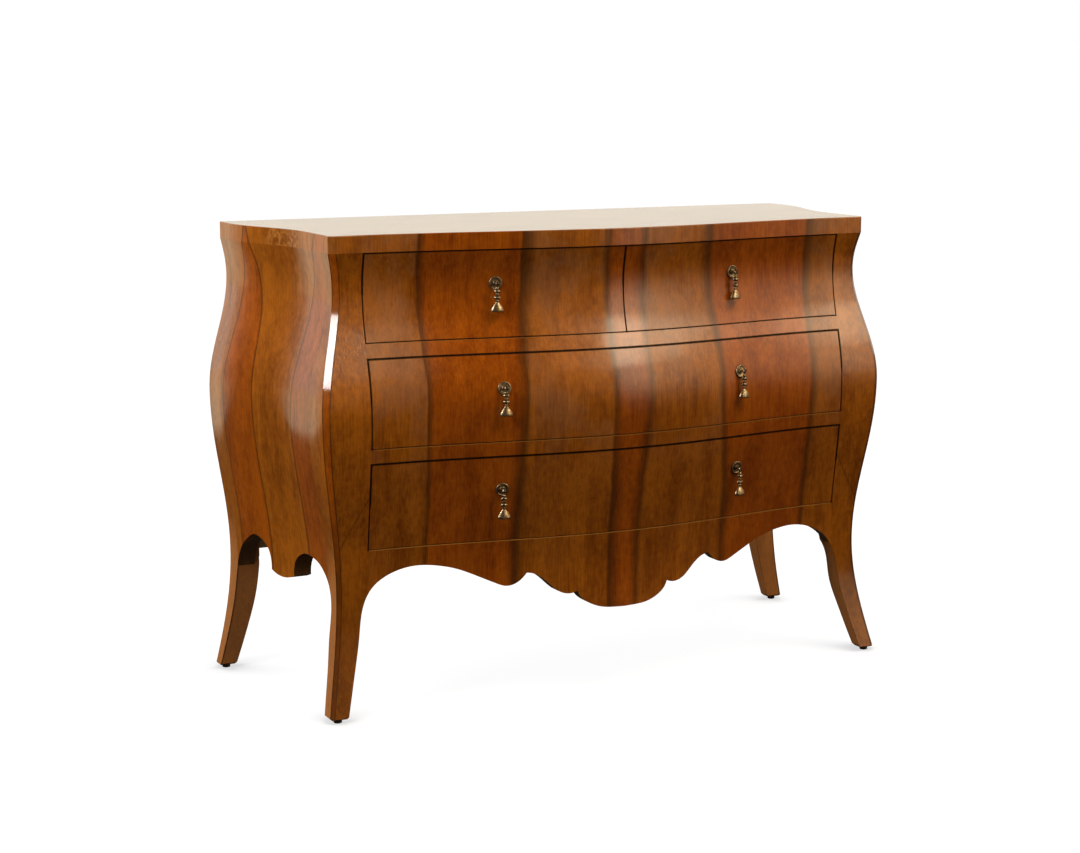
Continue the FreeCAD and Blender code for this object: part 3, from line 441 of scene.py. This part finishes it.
tone = total(tree, product(tree, soft_step(tree, bands, *BAND_EDGE), BAND_SHARE),
             product(tree, soft_step(tree, streaks, *STREAK_EDGE), STREAK_SHARE),
             product(tree, soft_step(tree, ripple, *RIPPLE_EDGE), given["Shimmer"]),
             soft_step(tree, patches, *PATCH_EDGE, -PATCH_DEPTH, PATCH_DEPTH))
pores = soft_step(tree, flecks, *PORE_EDGE)
height = calculate(tree, "SUBTRACT", product(tree, streaks, STREAK_HEIGHT), pores)
put_out(tree, result, {"Tone": tone, "Pores": pores, "Height": height})

# %% [markdown]
# Joints between leaves of veneer
#
# The outside is covered with leaves of veneer laid edge to edge, golden and red by turns.  A
# joint is a hair-thin dark line, and beside many of them the heartwood makes a soft dark smear
# that changes its width on the way down.  The group takes the distance from a joint and puts
# out three masks: which side a point is on, the line and the smear.

# %% Group: veneer joint
JOINT_BLUR = 0.0015           # within this of a joint one leaf gives way to the next
LINE_REACH = 0.0026

veneer_joint, given, result = new_group(
    "veneer_joint", [("Distance", "Float", 0.0), ("Smear Before", "Float", 0.004),
                     ("Smear After", "Float", 0.004)],
    ["Side", "Line", "Smear"])
tree = veneer_joint
side = soft_step(tree, given["Distance"], -JOINT_BLUR, JOINT_BLUR)
line = soft_step(tree, calculate(tree, "ABSOLUTE", given["Distance"]), 0.0, LINE_REACH, 1.0, 0.0)
before = calculate(tree, "DIVIDE", given["Distance"], given["Smear Before"])
after = calculate(tree, "DIVIDE", given["Distance"], given["Smear After"])
smear = product(tree, soft_step(tree, before, -1.0, 0.0),
                soft_step(tree, after, 0.0, 1.0, 1.0, 0.0))
put_out(tree, result, {"Side": side, "Line": line, "Smear": smear})

# %% [markdown]
# Gaps round the drawers
#
# The gaps round the drawer fronts are darkened nearly to black by painted shade and dust, most
# of all above a drawer.  Along the ledge under a drawer runs a pale painted highlight, and more
# so lower down.  The group takes the place, the middle and half size of one opening and how much
# painted shade is left below it, and puts out both masks.

# %% Group: painted gap shade and ledge highlight
GAP_SHADE_EDGE = (0.00084, 0.00196)   # from the middle of the gap: where the painted shade thins out and ends
GAP_SHADE_ABOVE = 0.0008              # more of it along the upper edge
LEDGE_HIGHLIGHT_DROP = 0.0012                 # middle of the painted ledge highlight below the middle of the gap
LEDGE_HIGHLIGHT_EDGE = (0.00044, 0.00165)     # from the middle of the ledge: where the painted highlight thins out and ends
HALF_WAY = 0.01                   # blur where the upper half of an opening meets the lower
LEDGE_ENDS = (-0.004, -0.001)     # the ledge fades out just inside the corners

gap_shade_and_highlight, given, result = new_group(
    "gap_shade_and_highlight", [("Place", "Vector", None), ("Middle", "Vector", None),
                  ("Half Size", "Vector", None), ("Painted Shade Below", "Float", 0.3)],
    ["Painted Shade", "Painted Highlight"])
tree = gap_shade_and_highlight
offset = on_vectors(tree, "SUBTRACT", given["Place"], given["Middle"])
upright = split(tree, offset)["Z"]
outside = split(tree, on_vectors(tree, "SUBTRACT", on_vectors(tree, "ABSOLUTE", offset),
                                 given["Half Size"]))
from_gap = calculate(tree, "ABSOLUTE", calculate(tree, "MAXIMUM", outside["X"], outside["Z"]))
from_gap = calculate(tree, "SUBTRACT", from_gap,
                     soft_step(tree, upright, 0.0, HALF_WAY, 0.0, GAP_SHADE_ABOVE))
at_foot = product(tree, soft_step(tree, upright, -HALF_WAY, 0.0, 1.0, 0.0),
                  soft_step(tree, outside["X"], *LEDGE_ENDS, 1.0, 0.0))
# painted shade round the opening, heavier above it
gap_shade = product(tree, soft_step(tree, from_gap, *GAP_SHADE_EDGE, 1.0, 0.0),
                soft_step(tree, at_foot, 0.0, 1.0, 1.0, given["Painted Shade Below"]))
# painted highlight along the ledge under it
from_ledge = calculate(tree, "ABSOLUTE", calculate(tree, "SUBTRACT", outside["Z"], LEDGE_HIGHLIGHT_DROP))
ledge_highlight = product(tree, soft_step(tree, from_ledge, *LEDGE_HIGHLIGHT_EDGE, 1.0, 0.0), at_foot,
              rest_of(tree, given["Painted Shade Below"]))
put_out(tree, result, {"Painted Shade": gap_shade, "Painted Highlight": ledge_highlight})

# %% [markdown]
# Leaves and lacquer
#
# Colours come in pairs, and the tone of the figure slides between the dark and the light one.
# The lacquer is a clear coat, nearly smooth, that swells softly like a sheet of old glass.  The
# wood below it is duller, and its own shine has the amber tint of walnut.

# %% Leaves
GOLD_LIGHT = (0.315, 0.086, 0.004, 1)
GOLD_DARK = (0.125, 0.027, 0.0005, 1)
RED_LIGHT = (0.310, 0.068, 0.002, 1)
RED_DARK = (0.135, 0.022, 0.0003, 1)
HEART_DARK = (0.030, 0.010, 0.002, 1)
LINE_DEPTH = 0.80             # how dark the hair-thin line of a joint is
CLOUD = (0.23, 0.105, 0.05, 1)
CLOUD_SCALE = 9.0
CLOUD_EDGE = (0.40, 0.62)     # of the noise
CLOUD_LEVELS = (0.42, 0.58)   # heights between which the clouds grow to their full share
CLOUD_LOW = 0.1               # part of it that is left below


def leaf_colours(tree, place, tone, cloud_share=0.0):
    """Colours of a golden and of a red leaf for a tone of the figure.  On the front the golden one
    has dull clouds, which thin out below the middle."""
    gold = mix_colour(tree, tone, GOLD_DARK, GOLD_LIGHT)
    red = mix_colour(tree, tone, RED_DARK, RED_LIGHT)
    clouds = noise(tree, place, CLOUD_SCALE, detail=3.0, roughness=0.6)
    share = soft_step(tree, split(tree, place)["Z"], *CLOUD_LEVELS,
                      CLOUD_LOW * cloud_share, cloud_share)
    cloudy = product(tree, soft_step(tree, clouds, *CLOUD_EDGE), share)
    return mix_colour(tree, cloudy, gold, CLOUD), red


def lay_leaves(tree, joints, gold, red):
    """Colour over a row of leaves, a golden one first and then red and golden by turns.  Each joint
    has its distance socket, how wide the smears before and after it are, and how dark they are."""
    colour = gold
    for number, (distance, smear_before, smear_after, darkness) in enumerate(joints):
        joint = use_group(tree, veneer_joint, {"Distance": distance, "Smear Before": smear_before,
                                               "Smear After": smear_after})
        colour = mix_colour(tree, joint["Side"], colour, gold if number % 2 else red)
        dark = calculate(tree, "MAXIMUM", product(tree, joint["Smear"], darkness),
                         product(tree, joint["Line"], LINE_DEPTH))
        colour = mix_colour(tree, dark, colour, HEART_DARK)
    return colour


print("leaf colours ready")

# %% Lacquer
PORE_DEPTH = 0.40
WOOD_ROUGHNESS = (0.50, 0.38)   # of the dark and of the light figure
WOOD_SHINE = 0.15
AMBER = (1.0, 0.62, 0.26, 1)
COAT_ROUGHNESS = 0.09
COAT_WAVE_SCALE = 14.0
GRAIN_RELIEF = (0.06, 0.0004)   # strength, and height in metres
COAT_RELIEF = (0.10, 0.004)


def lacquer(tree, place, colour, figure, coat):
    """Wood under a clear gloss, whose share is the coat."""
    colour = mix_colour(tree, product(tree, figure["Pores"], PORE_DEPTH), colour, HEART_DARK)
    grain = relief(tree, figure["Height"], *GRAIN_RELIEF)
    waves = noise(tree, place, COAT_WAVE_SCALE, detail=1.0)
    sheet = relief(tree, waves, *COAT_RELIEF, Normal=grain)
    close_material(tree, {
        "Base Color": colour, "Normal": grain,
        "Roughness": soft_step(tree, figure["Tone"], 0.0, 1.0, *WOOD_ROUGHNESS),
        "Specular IOR Level": WOOD_SHINE, "Specular Tint": AMBER,
        "Coat Weight": coat, "Coat Roughness": COAT_ROUGHNESS, "Coat Normal": sheet})


print("lacquer ready")

# %% [markdown]
# Edges and backs
#
# Only the outer face of a piece is veneered: its edges are stained dark and its back is bare
# timber.  The part of the normal along one axis tells a face from an edge.

# %% Edges and backs
EDGE_STAIN = (0.105, 0.042, 0.012, 1)
EDGE_DEEP = (0.045, 0.018, 0.006, 1)
TIMBER_LIGHT = (0.50, 0.33, 0.17, 1)
TIMBER_DARK = (0.33, 0.19, 0.085, 1)
FACING = (0.35, 0.60)         # part of the normal, from an edge to a face


def surface_normal(tree):
    """The normal of the piece, read as X, Y and Z."""
    return split(tree, add_node(tree, "ShaderNodeTexCoord").outputs["Normal"])


def outward(tree, place, sideways):
    """A sideways part of a vector, counted away from the middle of the chest."""
    return product(tree, sideways, calculate(tree, "SIGN", split(tree, place)["X"]))


def facing(tree, part, way):
    """A mask of the faces that point one way.  The part is that of the normal along an axis, and
    the way is 1 towards its positive end and -1 towards the other."""
    return soft_step(tree, part, *(way * limit for limit in FACING))


def stained_edge(tree, figure):
    """Stain on a sawn edge."""
    return mix_colour(tree, figure["Tone"], EDGE_DEEP, EDGE_STAIN)


def bare_timber(tree, figure):
    """Pale timber without veneer."""
    return mix_colour(tree, figure["Tone"], TIMBER_DARK, TIMBER_LIGHT)


print("edges and backs ready")

# %% [markdown]
# The front
#
# Seven leaves run from the edge of the top down over drawers, rails and apron, and the joints
# line up because all these pieces are veneered together and then cut apart.  Reading the place
# on the object does the same: one material for all of them, and the pattern carries on across
# every gap.

# %% Front joints
UPPER_LEVEL = 0.84
MIDDLE_LEVEL = 0.60
LOWER_LEVEL = 0.34
# at the three levels: place across, smear before, smear after, darkness
FRONT_JOINTS = [
    ((-0.407, 0.006, 0.016, 0.72), (-0.403, 0.004, 0.016, 0.60), (-0.400, 0.012, 0.008, 0.50)),
    ((-0.207, 0.005, 0.040, 0.78), (-0.213, 0.026, 0.009, 0.62), (-0.226, 0.020, 0.022, 0.66)),
    ((-0.035, 0.016, 0.014, 0.62), (-0.035, 0.010, 0.016, 0.60), (-0.034, 0.006, 0.030, 0.72)),
    ((0.044, 0.024, 0.010, 0.58), (0.042, 0.018, 0.012, 0.50), (0.027, 0.020, 0.012, 0.62)),
    ((0.196, 0.026, 0.016, 0.72), (0.212, 0.012, 0.014, 0.62), (0.230, 0.012, 0.020, 0.66)),
    ((0.441, 0.008, 0.034, 0.70), (0.441, 0.010, 0.018, 0.62), (0.436, 0.016, 0.008, 0.66)),
]
WANDER_SCALE = 9.0
WANDER = 0.010                # the joints stray sideways by up to half of this
FRONT_CLOUDS = 0.32


def front_leaves(tree, place, figure):
    """Colour of the seven leaves at a place on the front."""
    axes = split(tree, place)
    high = soft_step(tree, axes["Z"], MIDDLE_LEVEL, UPPER_LEVEL)
    low = soft_step(tree, axes["Z"], MIDDLE_LEVEL, LOWER_LEVEL)
    mid = calculate(tree, "SUBTRACT", rest_of(tree, high), low)
    weights = (high, mid, low)
    wander = add_node(tree, "ShaderNodeTexNoise", {
        "W": axes["Z"], "Scale": WANDER_SCALE, "Detail": 2.0}, noise_dimensions="1D").outputs[0]
    drift = product(tree, calculate(tree, "SUBTRACT", wander, 0.5), WANDER)
    across = total(tree, axes["X"], drift)
    joints = []
    for levels in FRONT_JOINTS:
        where, before, after, darkness = [
            total(tree, *(product(tree, weight, value) for weight, value in zip(weights, values)))
            for values in zip(*levels)]
        joints.append((calculate(tree, "SUBTRACT", across, where), before, after, darkness))
    return lay_leaves(tree, joints, *leaf_colours(tree, place, figure["Tone"], FRONT_CLOUDS))


print("front joints:", len(FRONT_JOINTS))

# %% Front veneer
# colour of the painted shade and dust in the gaps
GAP_SHADE_COLOUR = (0.012, 0.005, 0.002, 1)
GAP_SHADE_DEPTH = (0.35, 0.94)    # on the edges, and on the face
# how much of the painted shade is left below each drawer; the rest there is painted highlight
GAP_SHADE_BELOW = {"upper_left_drawer": 0.75, "upper_right_drawer": 0.9, "middle_drawer": 0.35,
               "lower_drawer": 0.05}
# colour of the painted highlight on the ledges under the drawers
LEDGE_HIGHLIGHT_COLOUR = (0.42, 0.17, 0.035, 1)
LEDGE_HIGHLIGHT_DEPTH = 0.9
HALF_GAP = 0.00075


def add_gap_shade_and_highlight(tree, place, colour, face):
    """Painted highlights on the ledges under the four drawer fronts, and painted shade and dust in
    the gaps round them, with no gloss in either.  Away from the face, on the edges, the painted
    shade is lighter."""
    gloss = 1.0
    depth = soft_step(tree, face, 0.0, 1.0, *GAP_SHADE_DEPTH)
    for drawer, below in GAP_SHADE_BELOW.items():
        low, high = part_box(drawer + "_front")
        middle = [(a + b) / 2 for a, b in zip(low, high)]
        half = [(b - a) / 2 + HALF_GAP for a, b in zip(low, high)]
        mask = use_group(tree, gap_shade_and_highlight, {"Place": place, "Middle": middle, "Half Size": half,
                                           "Painted Shade Below": below})
        # painted highlight on the ledge, then painted shade in the gap
        colour = mix_colour(tree, product(tree, mask["Painted Highlight"], LEDGE_HIGHLIGHT_DEPTH), colour, LEDGE_HIGHLIGHT_COLOUR)
        gap_shade = product(tree, mask["Painted Shade"], depth)
        colour = mix_colour(tree, gap_shade, colour, GAP_SHADE_COLOUR)
        gloss = calculate(tree, "SUBTRACT", gloss, calculate(tree, "MAXIMUM", gap_shade, mask["Painted Highlight"]))
    return colour, calculate(tree, "MAXIMUM", gloss, 0.0)


front_veneer, tree, place = new_material("front_veneer")
figure = use_group(tree, wood_figure, {"Place": place})
forward = surface_normal(tree)["Y"]
face, bare = facing(tree, forward, -1), facing(tree, forward, 1)
colour = mix_colour(tree, face, stained_edge(tree, figure), front_leaves(tree, place, figure))
colour, gloss = add_gap_shade_and_highlight(tree, place, colour, face)
colour = mix_colour(tree, bare, colour, bare_timber(tree, figure))
lacquer(tree, place, colour, figure, coat=product(tree, gloss, rest_of(tree, bare)))
print("front veneer over", len(GAP_SHADE_BELOW), "drawers")

# %% [markdown]
# The sides
#
# The leaves of a side are shaped to its swelling: straight down the belly, and drawn towards
# each other or apart near the top.  Each joint is a distance from the back plus a shift that
# grows with the cube of the height above the belly, which bends it smoothly.  Above and below
# the middle the leaves are a little paler, as painted light.

# %% Side joints
BACK_PLANE = chest_high.y
BELLY_LEVEL = 0.42
BEND_HEIGHT = 0.48
# distance from the back at the belly, shift at the top, smears before and after, darkness
SIDE_JOINTS = [
    (0.079, 0.040, 0.002, 0.006, 0.55),
    (0.181, -0.055, 0.006, 0.002, 0.60),
    (0.305, 0.064, 0.002, 0.010, 0.65),
    (0.402, 0.020, 0.003, 0.002, 0.50),
]
LEAST_LIT_LEVEL = 0.54             # where the leaves get the least painted light
SIDE_LIGHT_EDGE = (0.08, 0.26)     # distance up or down from there, where the painted light comes in
SIDE_PAINTED_LIGHT = 0.22


def side_leaves(tree, place, figure):
    """Colour of the five leaves at a place on a side."""
    axes = split(tree, place)
    rise = calculate(tree, "SUBTRACT", axes["Z"], BELLY_LEVEL)
    rise = calculate(tree, "MAXIMUM", calculate(tree, "DIVIDE", rise, BEND_HEIGHT), 0.0)
    bend = calculate(tree, "POWER", rise, 3.0)
    # painted light: the tone is raised above and below the belly
    from_middle = calculate(tree, "ABSOLUTE", calculate(tree, "SUBTRACT", axes["Z"], LEAST_LIT_LEVEL))
    tone = total(tree, figure["Tone"], soft_step(tree, from_middle, *SIDE_LIGHT_EDGE, 0.0, SIDE_PAINTED_LIGHT))
    from_back = calculate(tree, "SUBTRACT", BACK_PLANE, axes["Y"])
    joints = []
    for belly, shift, *smears in SIDE_JOINTS:
        line = total(tree, product(tree, bend, shift), belly)
        joints.append((calculate(tree, "SUBTRACT", from_back, line), *smears))
    return lay_leaves(tree, joints, *leaf_colours(tree, place, tone))


print("side joints:", len(SIDE_JOINTS))

# %% Side veneer
side_veneer, tree, place = new_material("side_veneer")
figure = use_group(tree, wood_figure, {"Place": place})
away = outward(tree, place, surface_normal(tree)["X"])
face, bare = facing(tree, away, 1), facing(tree, away, -1)
colour = mix_colour(tree, face, stained_edge(tree, figure), side_leaves(tree, place, figure))
colour = mix_colour(tree, bare, colour, bare_timber(tree, figure))
lacquer(tree, place, colour, figure, coat=rest_of(tree, bare))
print("side veneer ready")

# %% [markdown]
# The posts
#
# A post is veneered on its faces one by one: golden towards the front and the side, red on the
# cant between them.  The normal of the surface says which face a point is on.  On the front
# face the leaf of the leg meets the one above it in a slanting joint.

# %% Post: faces and joint
FRONT_FACING = (-0.80, -0.90)     # part of the normal along Y, from another face to the front one
SIDE_FACING = (0.86, 0.93)        # and its part along X, either way, to a side one
CANT_FACING = (-0.20, -0.35)      # a cant still faces forward by this much
BACK_LEG_FACING = (-0.75, -0.90)
FRONT_HALF = (0.0, -0.05)         # places along Y
BACK_HALF = (0.0, 0.05)
SLANT_HIGH = (0.518, 0.411)       # ends of the slanting joint: across from the middle, and up
SLANT_LOW = (0.572, 0.318)
SLANT_FACING = (-0.85, -0.95)
SLANT_REACH = 0.0022
SLANT_DEPTH = 0.5
SLANT_END = 0.01                  # its lower end fades out over this height


def post_faces(tree, place, normal):
    """Masks of the cants, of the fronts of the front legs, and of the faces that get painted light
    on a leg.
    """
    sideways = calculate(tree, "ABSOLUTE", normal["X"])
    front = soft_step(tree, normal["Y"], *FRONT_FACING)
    side = soft_step(tree, sideways, *SIDE_FACING)
    cant = product(tree, rest_of(tree, front), rest_of(tree, side),
                   soft_step(tree, normal["Y"], *CANT_FACING))
    depth = split(tree, place)["Y"]
    leg_front = product(tree, front, soft_step(tree, depth, *FRONT_HALF))
    back_leg_front = product(tree, soft_step(tree, depth, *BACK_HALF),
                             soft_step(tree, normal["Y"], *BACK_LEG_FACING))
    return cant, leg_front, calculate(tree, "MAXIMUM", side, back_leg_front)


def slanting_joint(tree, place, normal):
    """The line between the leaf of a leg and the one above it."""
    axes = split(tree, place)
    run, drop = SLANT_LOW[0] - SLANT_HIGH[0], SLANT_HIGH[1] - SLANT_LOW[1]
    length = math.hypot(run, drop)
    aside = calculate(tree, "SUBTRACT", calculate(tree, "ABSOLUTE", axes["X"]), SLANT_HIGH[0])
    lower = calculate(tree, "SUBTRACT", axes["Z"], SLANT_HIGH[1])
    away = calculate(tree, "ABSOLUTE", total(tree, product(tree, aside, drop / length),
                                             product(tree, lower, run / length)))
    return product(tree, soft_step(tree, away, 0.0, SLANT_REACH, SLANT_DEPTH, 0.0),
                   soft_step(tree, axes["Z"], SLANT_LOW[1] - SLANT_END, SLANT_LOW[1]),
                   soft_step(tree, normal["Y"], *SLANT_FACING))


print("faces of the posts ready")

# %% [markdown]
# Where two faces of a post meet, the colour turns dark in a line.  A Bevel node gives the
# normal as if the edge were rounded, and where that leans outwards more than the true one, such
# an edge is near.  The legs are duller than the rest; towards the floor painted shade darkens
# their front and cant, and painted light makes their sides and the front of the back legs paler.

# %% Post veneer
LEG_FRONT = (0.30, 0.18)      # heights between which the leg takes over: at the front,
LEG_CANT = (0.42, 0.25)       # on the cant
LEG_SIDE = (0.36, 0.22)       # and at the side
# painted shade towards the floor on the front and cant of a leg, and painted light on its sides
LEG_PAINTED_SHADE = 0.40
CANT_PAINTED_SHADE = 0.60
LEG_PAINTED_LIGHT_COLOUR = (0.42, 0.18, 0.065, 1)
LEG_PAINTED_LIGHT = 0.45
LEG_SHINE = 0.4
EDGE_REACH = 0.0055           # how far the dark line reaches from an edge
EDGE_LEAN = (0.015, 0.10)     # how much the rounded normal leans, from no line to the full one
EDGE_DEPTH = 0.85


def edge_line(tree, place):
    """Dark lines along the outer edges."""
    rounded = add_node(tree, "ShaderNodeBevel", {"Radius": EDGE_REACH}, samples=8).outputs[0]
    true_normal = add_node(tree, "ShaderNodeNewGeometry").outputs["Normal"]
    lean = calculate(tree, "SUBTRACT", split(tree, rounded)["X"], split(tree, true_normal)["X"])
    return soft_step(tree, outward(tree, place, lean), *EDGE_LEAN, 0.0, EDGE_DEPTH)


post_veneer, tree, place = new_material("post_veneer")
figure = use_group(tree, wood_figure, {"Place": place, "Band Scale": 24.0, "Shimmer": 0.30})
gold, red = leaf_colours(tree, place, figure["Tone"])
normal = surface_normal(tree)
height = split(tree, place)["Z"]
cant, leg_front, lit_leg_face = post_faces(tree, place, normal)
colour = mix_colour(tree, cant, gold, red)
colour = mix_colour(tree, slanting_joint(tree, place, normal), colour, HEART_DARK)
# painted shade towards the floor on the front and cant of the legs
darker = calculate(tree, "MAXIMUM",
                   product(tree, leg_front, soft_step(tree, height, *LEG_FRONT, 0.0, LEG_PAINTED_SHADE)),
                   product(tree, cant, soft_step(tree, height, *LEG_CANT, 0.0, CANT_PAINTED_SHADE)))
colour = mix_colour(tree, darker, colour, HEART_DARK)
# painted light on the sides of the legs and on the front of the back legs
paler = product(tree, lit_leg_face, soft_step(tree, height, *LEG_SIDE, 0.0, LEG_PAINTED_LIGHT))
colour = mix_colour(tree, paler, colour, LEG_PAINTED_LIGHT_COLOUR)
colour = mix_colour(tree, edge_line(tree, place), colour, HEART_DARK)
# painted shade in the gaps and painted highlight on the ledges, where they reach the posts
colour, gloss = add_gap_shade_and_highlight(tree, place, colour, facing(tree, normal["Y"], -1))
lacquer(tree, place, colour, figure,
        coat=product(tree, gloss, soft_step(tree, height, *LEG_SIDE, 1.0, LEG_SHINE)))
print("post veneer ready")

# %% [markdown]
# The top
#
# The leaves of the front end on the front edge of the top, and those of the sides on its side
# edges, with a cloudy golden burl in their middle.  The upper face is one quiet golden field,
# whose figure is drawn out from side to side instead of up and down, and the back edge is as
# quiet.

# %% Top: burl
BURL_PLACE = 0.03             # behind the middle
BURL_REACH = (0.0225, 0.075)  # distance from there, where the burl thins out and where it ends
BURL_LIGHT = (0.42, 0.16, 0.03, 1)
BURL_SCALE = 64.0
BURL_EDGE = (0.34, 0.66)      # part of the noise that goes from dark to light
BURL_SHARE = 0.6


def burl_over(tree, place, colour):
    """A colour with the burl over it."""
    swirl = noise(tree, place, BURL_SCALE, detail=4.0, distortion=1.4)
    burl = mix_colour(tree, soft_step(tree, swirl, *BURL_EDGE), GOLD_DARK, BURL_LIGHT)
    from_burl = calculate(tree, "ABSOLUTE", calculate(tree, "SUBTRACT", split(tree, place)["Y"],
                                                      BURL_PLACE))
    return mix_colour(tree, soft_step(tree, from_burl, *BURL_REACH, BURL_SHARE, 0.0), colour, burl)


print("burl ready")

# %% Top veneer
FIELD_LIGHT = (0.165, 0.050, 0.004, 1)
FIELD_DARK = (0.062, 0.015, 0.001, 1)
CROSS_GRAIN = (0.045, 1.0, 1.0)
TOP_FACING = (0.5, 0.8)           # part of the normal, from another face to this one
SIDE_EDGE_FACING = (0.75, 0.85)

top_veneer, tree, place = new_material("top_veneer")
normal = surface_normal(tree)
upper_face = soft_step(tree, normal["Z"], *TOP_FACING)
back_edge = soft_step(tree, normal["Y"], *TOP_FACING)
under = soft_step(tree, product(tree, normal["Z"], -1.0), *TOP_FACING)
side_edge = soft_step(tree, calculate(tree, "ABSOLUTE", normal["X"]), *SIDE_EDGE_FACING)
edge_figure = use_group(tree, wood_figure, {"Place": place})
face_figure = use_group(tree, wood_figure, {"Place": place, "Stretch": CROSS_GRAIN,
                                            "Band Scale": 20.0, "Shimmer": 0.14})
figure = {name: add_node(tree, "ShaderNodeMix", {0: upper_face, 2: edge_figure[name],
                                                 3: face_figure[name]}).outputs[0]
          for name in ("Tone", "Pores", "Height")}
colour = mix_colour(tree, calculate(tree, "MAXIMUM", upper_face, back_edge),
                    front_leaves(tree, place, figure),
                    mix_colour(tree, figure["Tone"], FIELD_DARK, FIELD_LIGHT))
side_colour = burl_over(tree, place, side_leaves(tree, place, figure))
colour = mix_colour(tree, side_edge, colour, side_colour)
colour = mix_colour(tree, under, colour, TIMBER_DARK)
lacquer(tree, place, colour, figure, coat=rest_of(tree, under))
print("top veneer ready")

# %% [markdown]
# Inside wood
#
# Nobody lacquers the inside of a drawer.  It is plain sealed timber: pale, matt, with its grain
# along each board.

# %% Inside timber
TIMBER_ROUGHNESS = (0.72, 0.60)   # of the dark and of the light figure
TIMBER_PORES = 0.2
TIMBER_RELIEF = (0.15, 0.0005)    # strength, and height in metres


def timber(name, stretch):
    """Plain timber whose grain runs along the axis with the small stretch."""
    material, tree, place = new_material(name)
    figure = use_group(tree, wood_figure, {"Place": place, "Stretch": stretch, "Band Scale": 30.0,
                                           "Shimmer": 0.1})
    pores = product(tree, figure["Pores"], TIMBER_PORES)
    close_material(tree, {
        "Base Color": mix_colour(tree, pores, bare_timber(tree, figure), TIMBER_DARK),
        "Normal": relief(tree, figure["Height"], *TIMBER_RELIEF),
        "Roughness": soft_step(tree, figure["Tone"], 0.0, 1.0, *TIMBER_ROUGHNESS)})
    return material


timber_across = timber("timber_across", (0.06, 1.0, 1.0))
timber_deep = timber("timber_deep", (1.0, 0.06, 1.0))
timber_upright = timber("timber_upright", (1.0, 1.0, 0.06))
print("timber ready")

# %% [markdown]
# Brass, glides and screws
#
# The pulls are brass that has been browned and rubbed back: dark in the hollows, where a cloth
# doesn't reach, and brighter on the high spots.  Two noises, one broad and one fine, make the
# patches, and they change colour and roughness together.

# %% Antique brass
BRASS_BRIGHT = (0.46, 0.33, 0.19, 1)
BRASS_BROWN = (0.21, 0.13, 0.070, 1)
BRASS_DIRT = (0.030, 0.016, 0.008, 1)
BRASS_ROUGHNESS = (0.52, 0.34)    # of the browned and of the rubbed patches
HOLLOW_REACH = 0.005
HOLLOW_OPEN = (0.35, 0.90)        # open share of the space around, from dirty to clean
BROAD_SCALE, BROAD_SHARE = 260.0, 0.7
FINE_SCALE, FINE_SHARE = 1400.0, 0.3
RUBBED_EDGE = (0.38, 0.60)        # of both noises together, from browned to rubbed
DENTS = (0.25, 0.0004)            # strength, and height in metres

antique_brass, tree, place = new_material("antique_brass")
broad = noise(tree, place, BROAD_SCALE, detail=3.0)
fine = noise(tree, place, FINE_SCALE, detail=2.0)
both = total(tree, product(tree, broad, BROAD_SHARE), product(tree, fine, FINE_SHARE))
rubbed = soft_step(tree, both, *RUBBED_EDGE)
open_share = add_node(tree, "ShaderNodeAmbientOcclusion", {"Distance": HOLLOW_REACH},
                      samples=8).outputs["AO"]
colour = mix_colour(tree, soft_step(tree, open_share, *HOLLOW_OPEN), BRASS_DIRT,
                    mix_colour(tree, rubbed, BRASS_BROWN, BRASS_BRIGHT))
close_material(tree, {
    "Base Color": colour, "Metallic": 1.0, "Normal": relief(tree, broad, *DENTS),
    "Roughness": soft_step(tree, rubbed, 0.0, 1.0, *BRASS_ROUGHNESS)})
print("brass ready")

# %% Glides and screws
GLIDE_DARK = (0.010, 0.009, 0.008, 1)
GLIDE_LIGHT = (0.030, 0.028, 0.026, 1)
STEEL_DARK = (0.42, 0.42, 0.43, 1)
STEEL_LIGHT = (0.62, 0.62, 0.61, 1)
SCUFF_SCALE = 500.0
TURNING_SCALE = 900.0
SCUFF_EDGE = (0.3, 0.7)           # of the noise, from smooth to scuffed
GLIDE_ROUGHNESS = (0.45, 0.65)
SCREW_ROUGHNESS = (0.30, 0.45)

glide_black, tree, place = new_material("glide_black")
scuffs = noise(tree, place, SCUFF_SCALE, detail=3.0)
close_material(tree, {
    "Base Color": mix_colour(tree, scuffs, GLIDE_DARK, GLIDE_LIGHT),
    "Roughness": soft_step(tree, scuffs, *SCUFF_EDGE, *GLIDE_ROUGHNESS)})

screw_steel, tree, place = new_material("screw_steel")
turned = noise(tree, place, TURNING_SCALE, detail=2.0)
close_material(tree, {
    "Base Color": mix_colour(tree, turned, STEEL_DARK, STEEL_LIGHT),
    "Metallic": 1.0, "Roughness": soft_step(tree, turned, *SCUFF_EDGE, *SCREW_ROUGHNESS)})
print("glides and screws ready")

# %% [markdown]
# Who gets what
#
# A piece's name says what it is, so the finishes are handed out by name.

# %% Hand out the finishes
def finish_for(name):
    """The material of a node, found from its name."""
    if name.endswith(("_pull_mount", "_pull_drop")):
        return antique_brass
    if name == "foot_glides":
        return glide_black
    if name == "back_screws":
        return screw_steel
    if name == "top_panel":
        return top_veneer
    if name.endswith(("drawer_front", "front_rail", "front_apron")):
        return front_veneer
    if name.endswith("side_panel"):
        return side_veneer
    if name.endswith("_post"):
        return post_veneer
    if name.endswith(("_side", "_runner", "_bottom")) or name == "centre_partition":
        return timber_deep
    if name == "back_panel":
        return timber_upright
    return timber_across


for name, piece in nodes.items():
    piece.material_slots[0].material = finish_for(name)
print("finished pieces:", len(nodes))
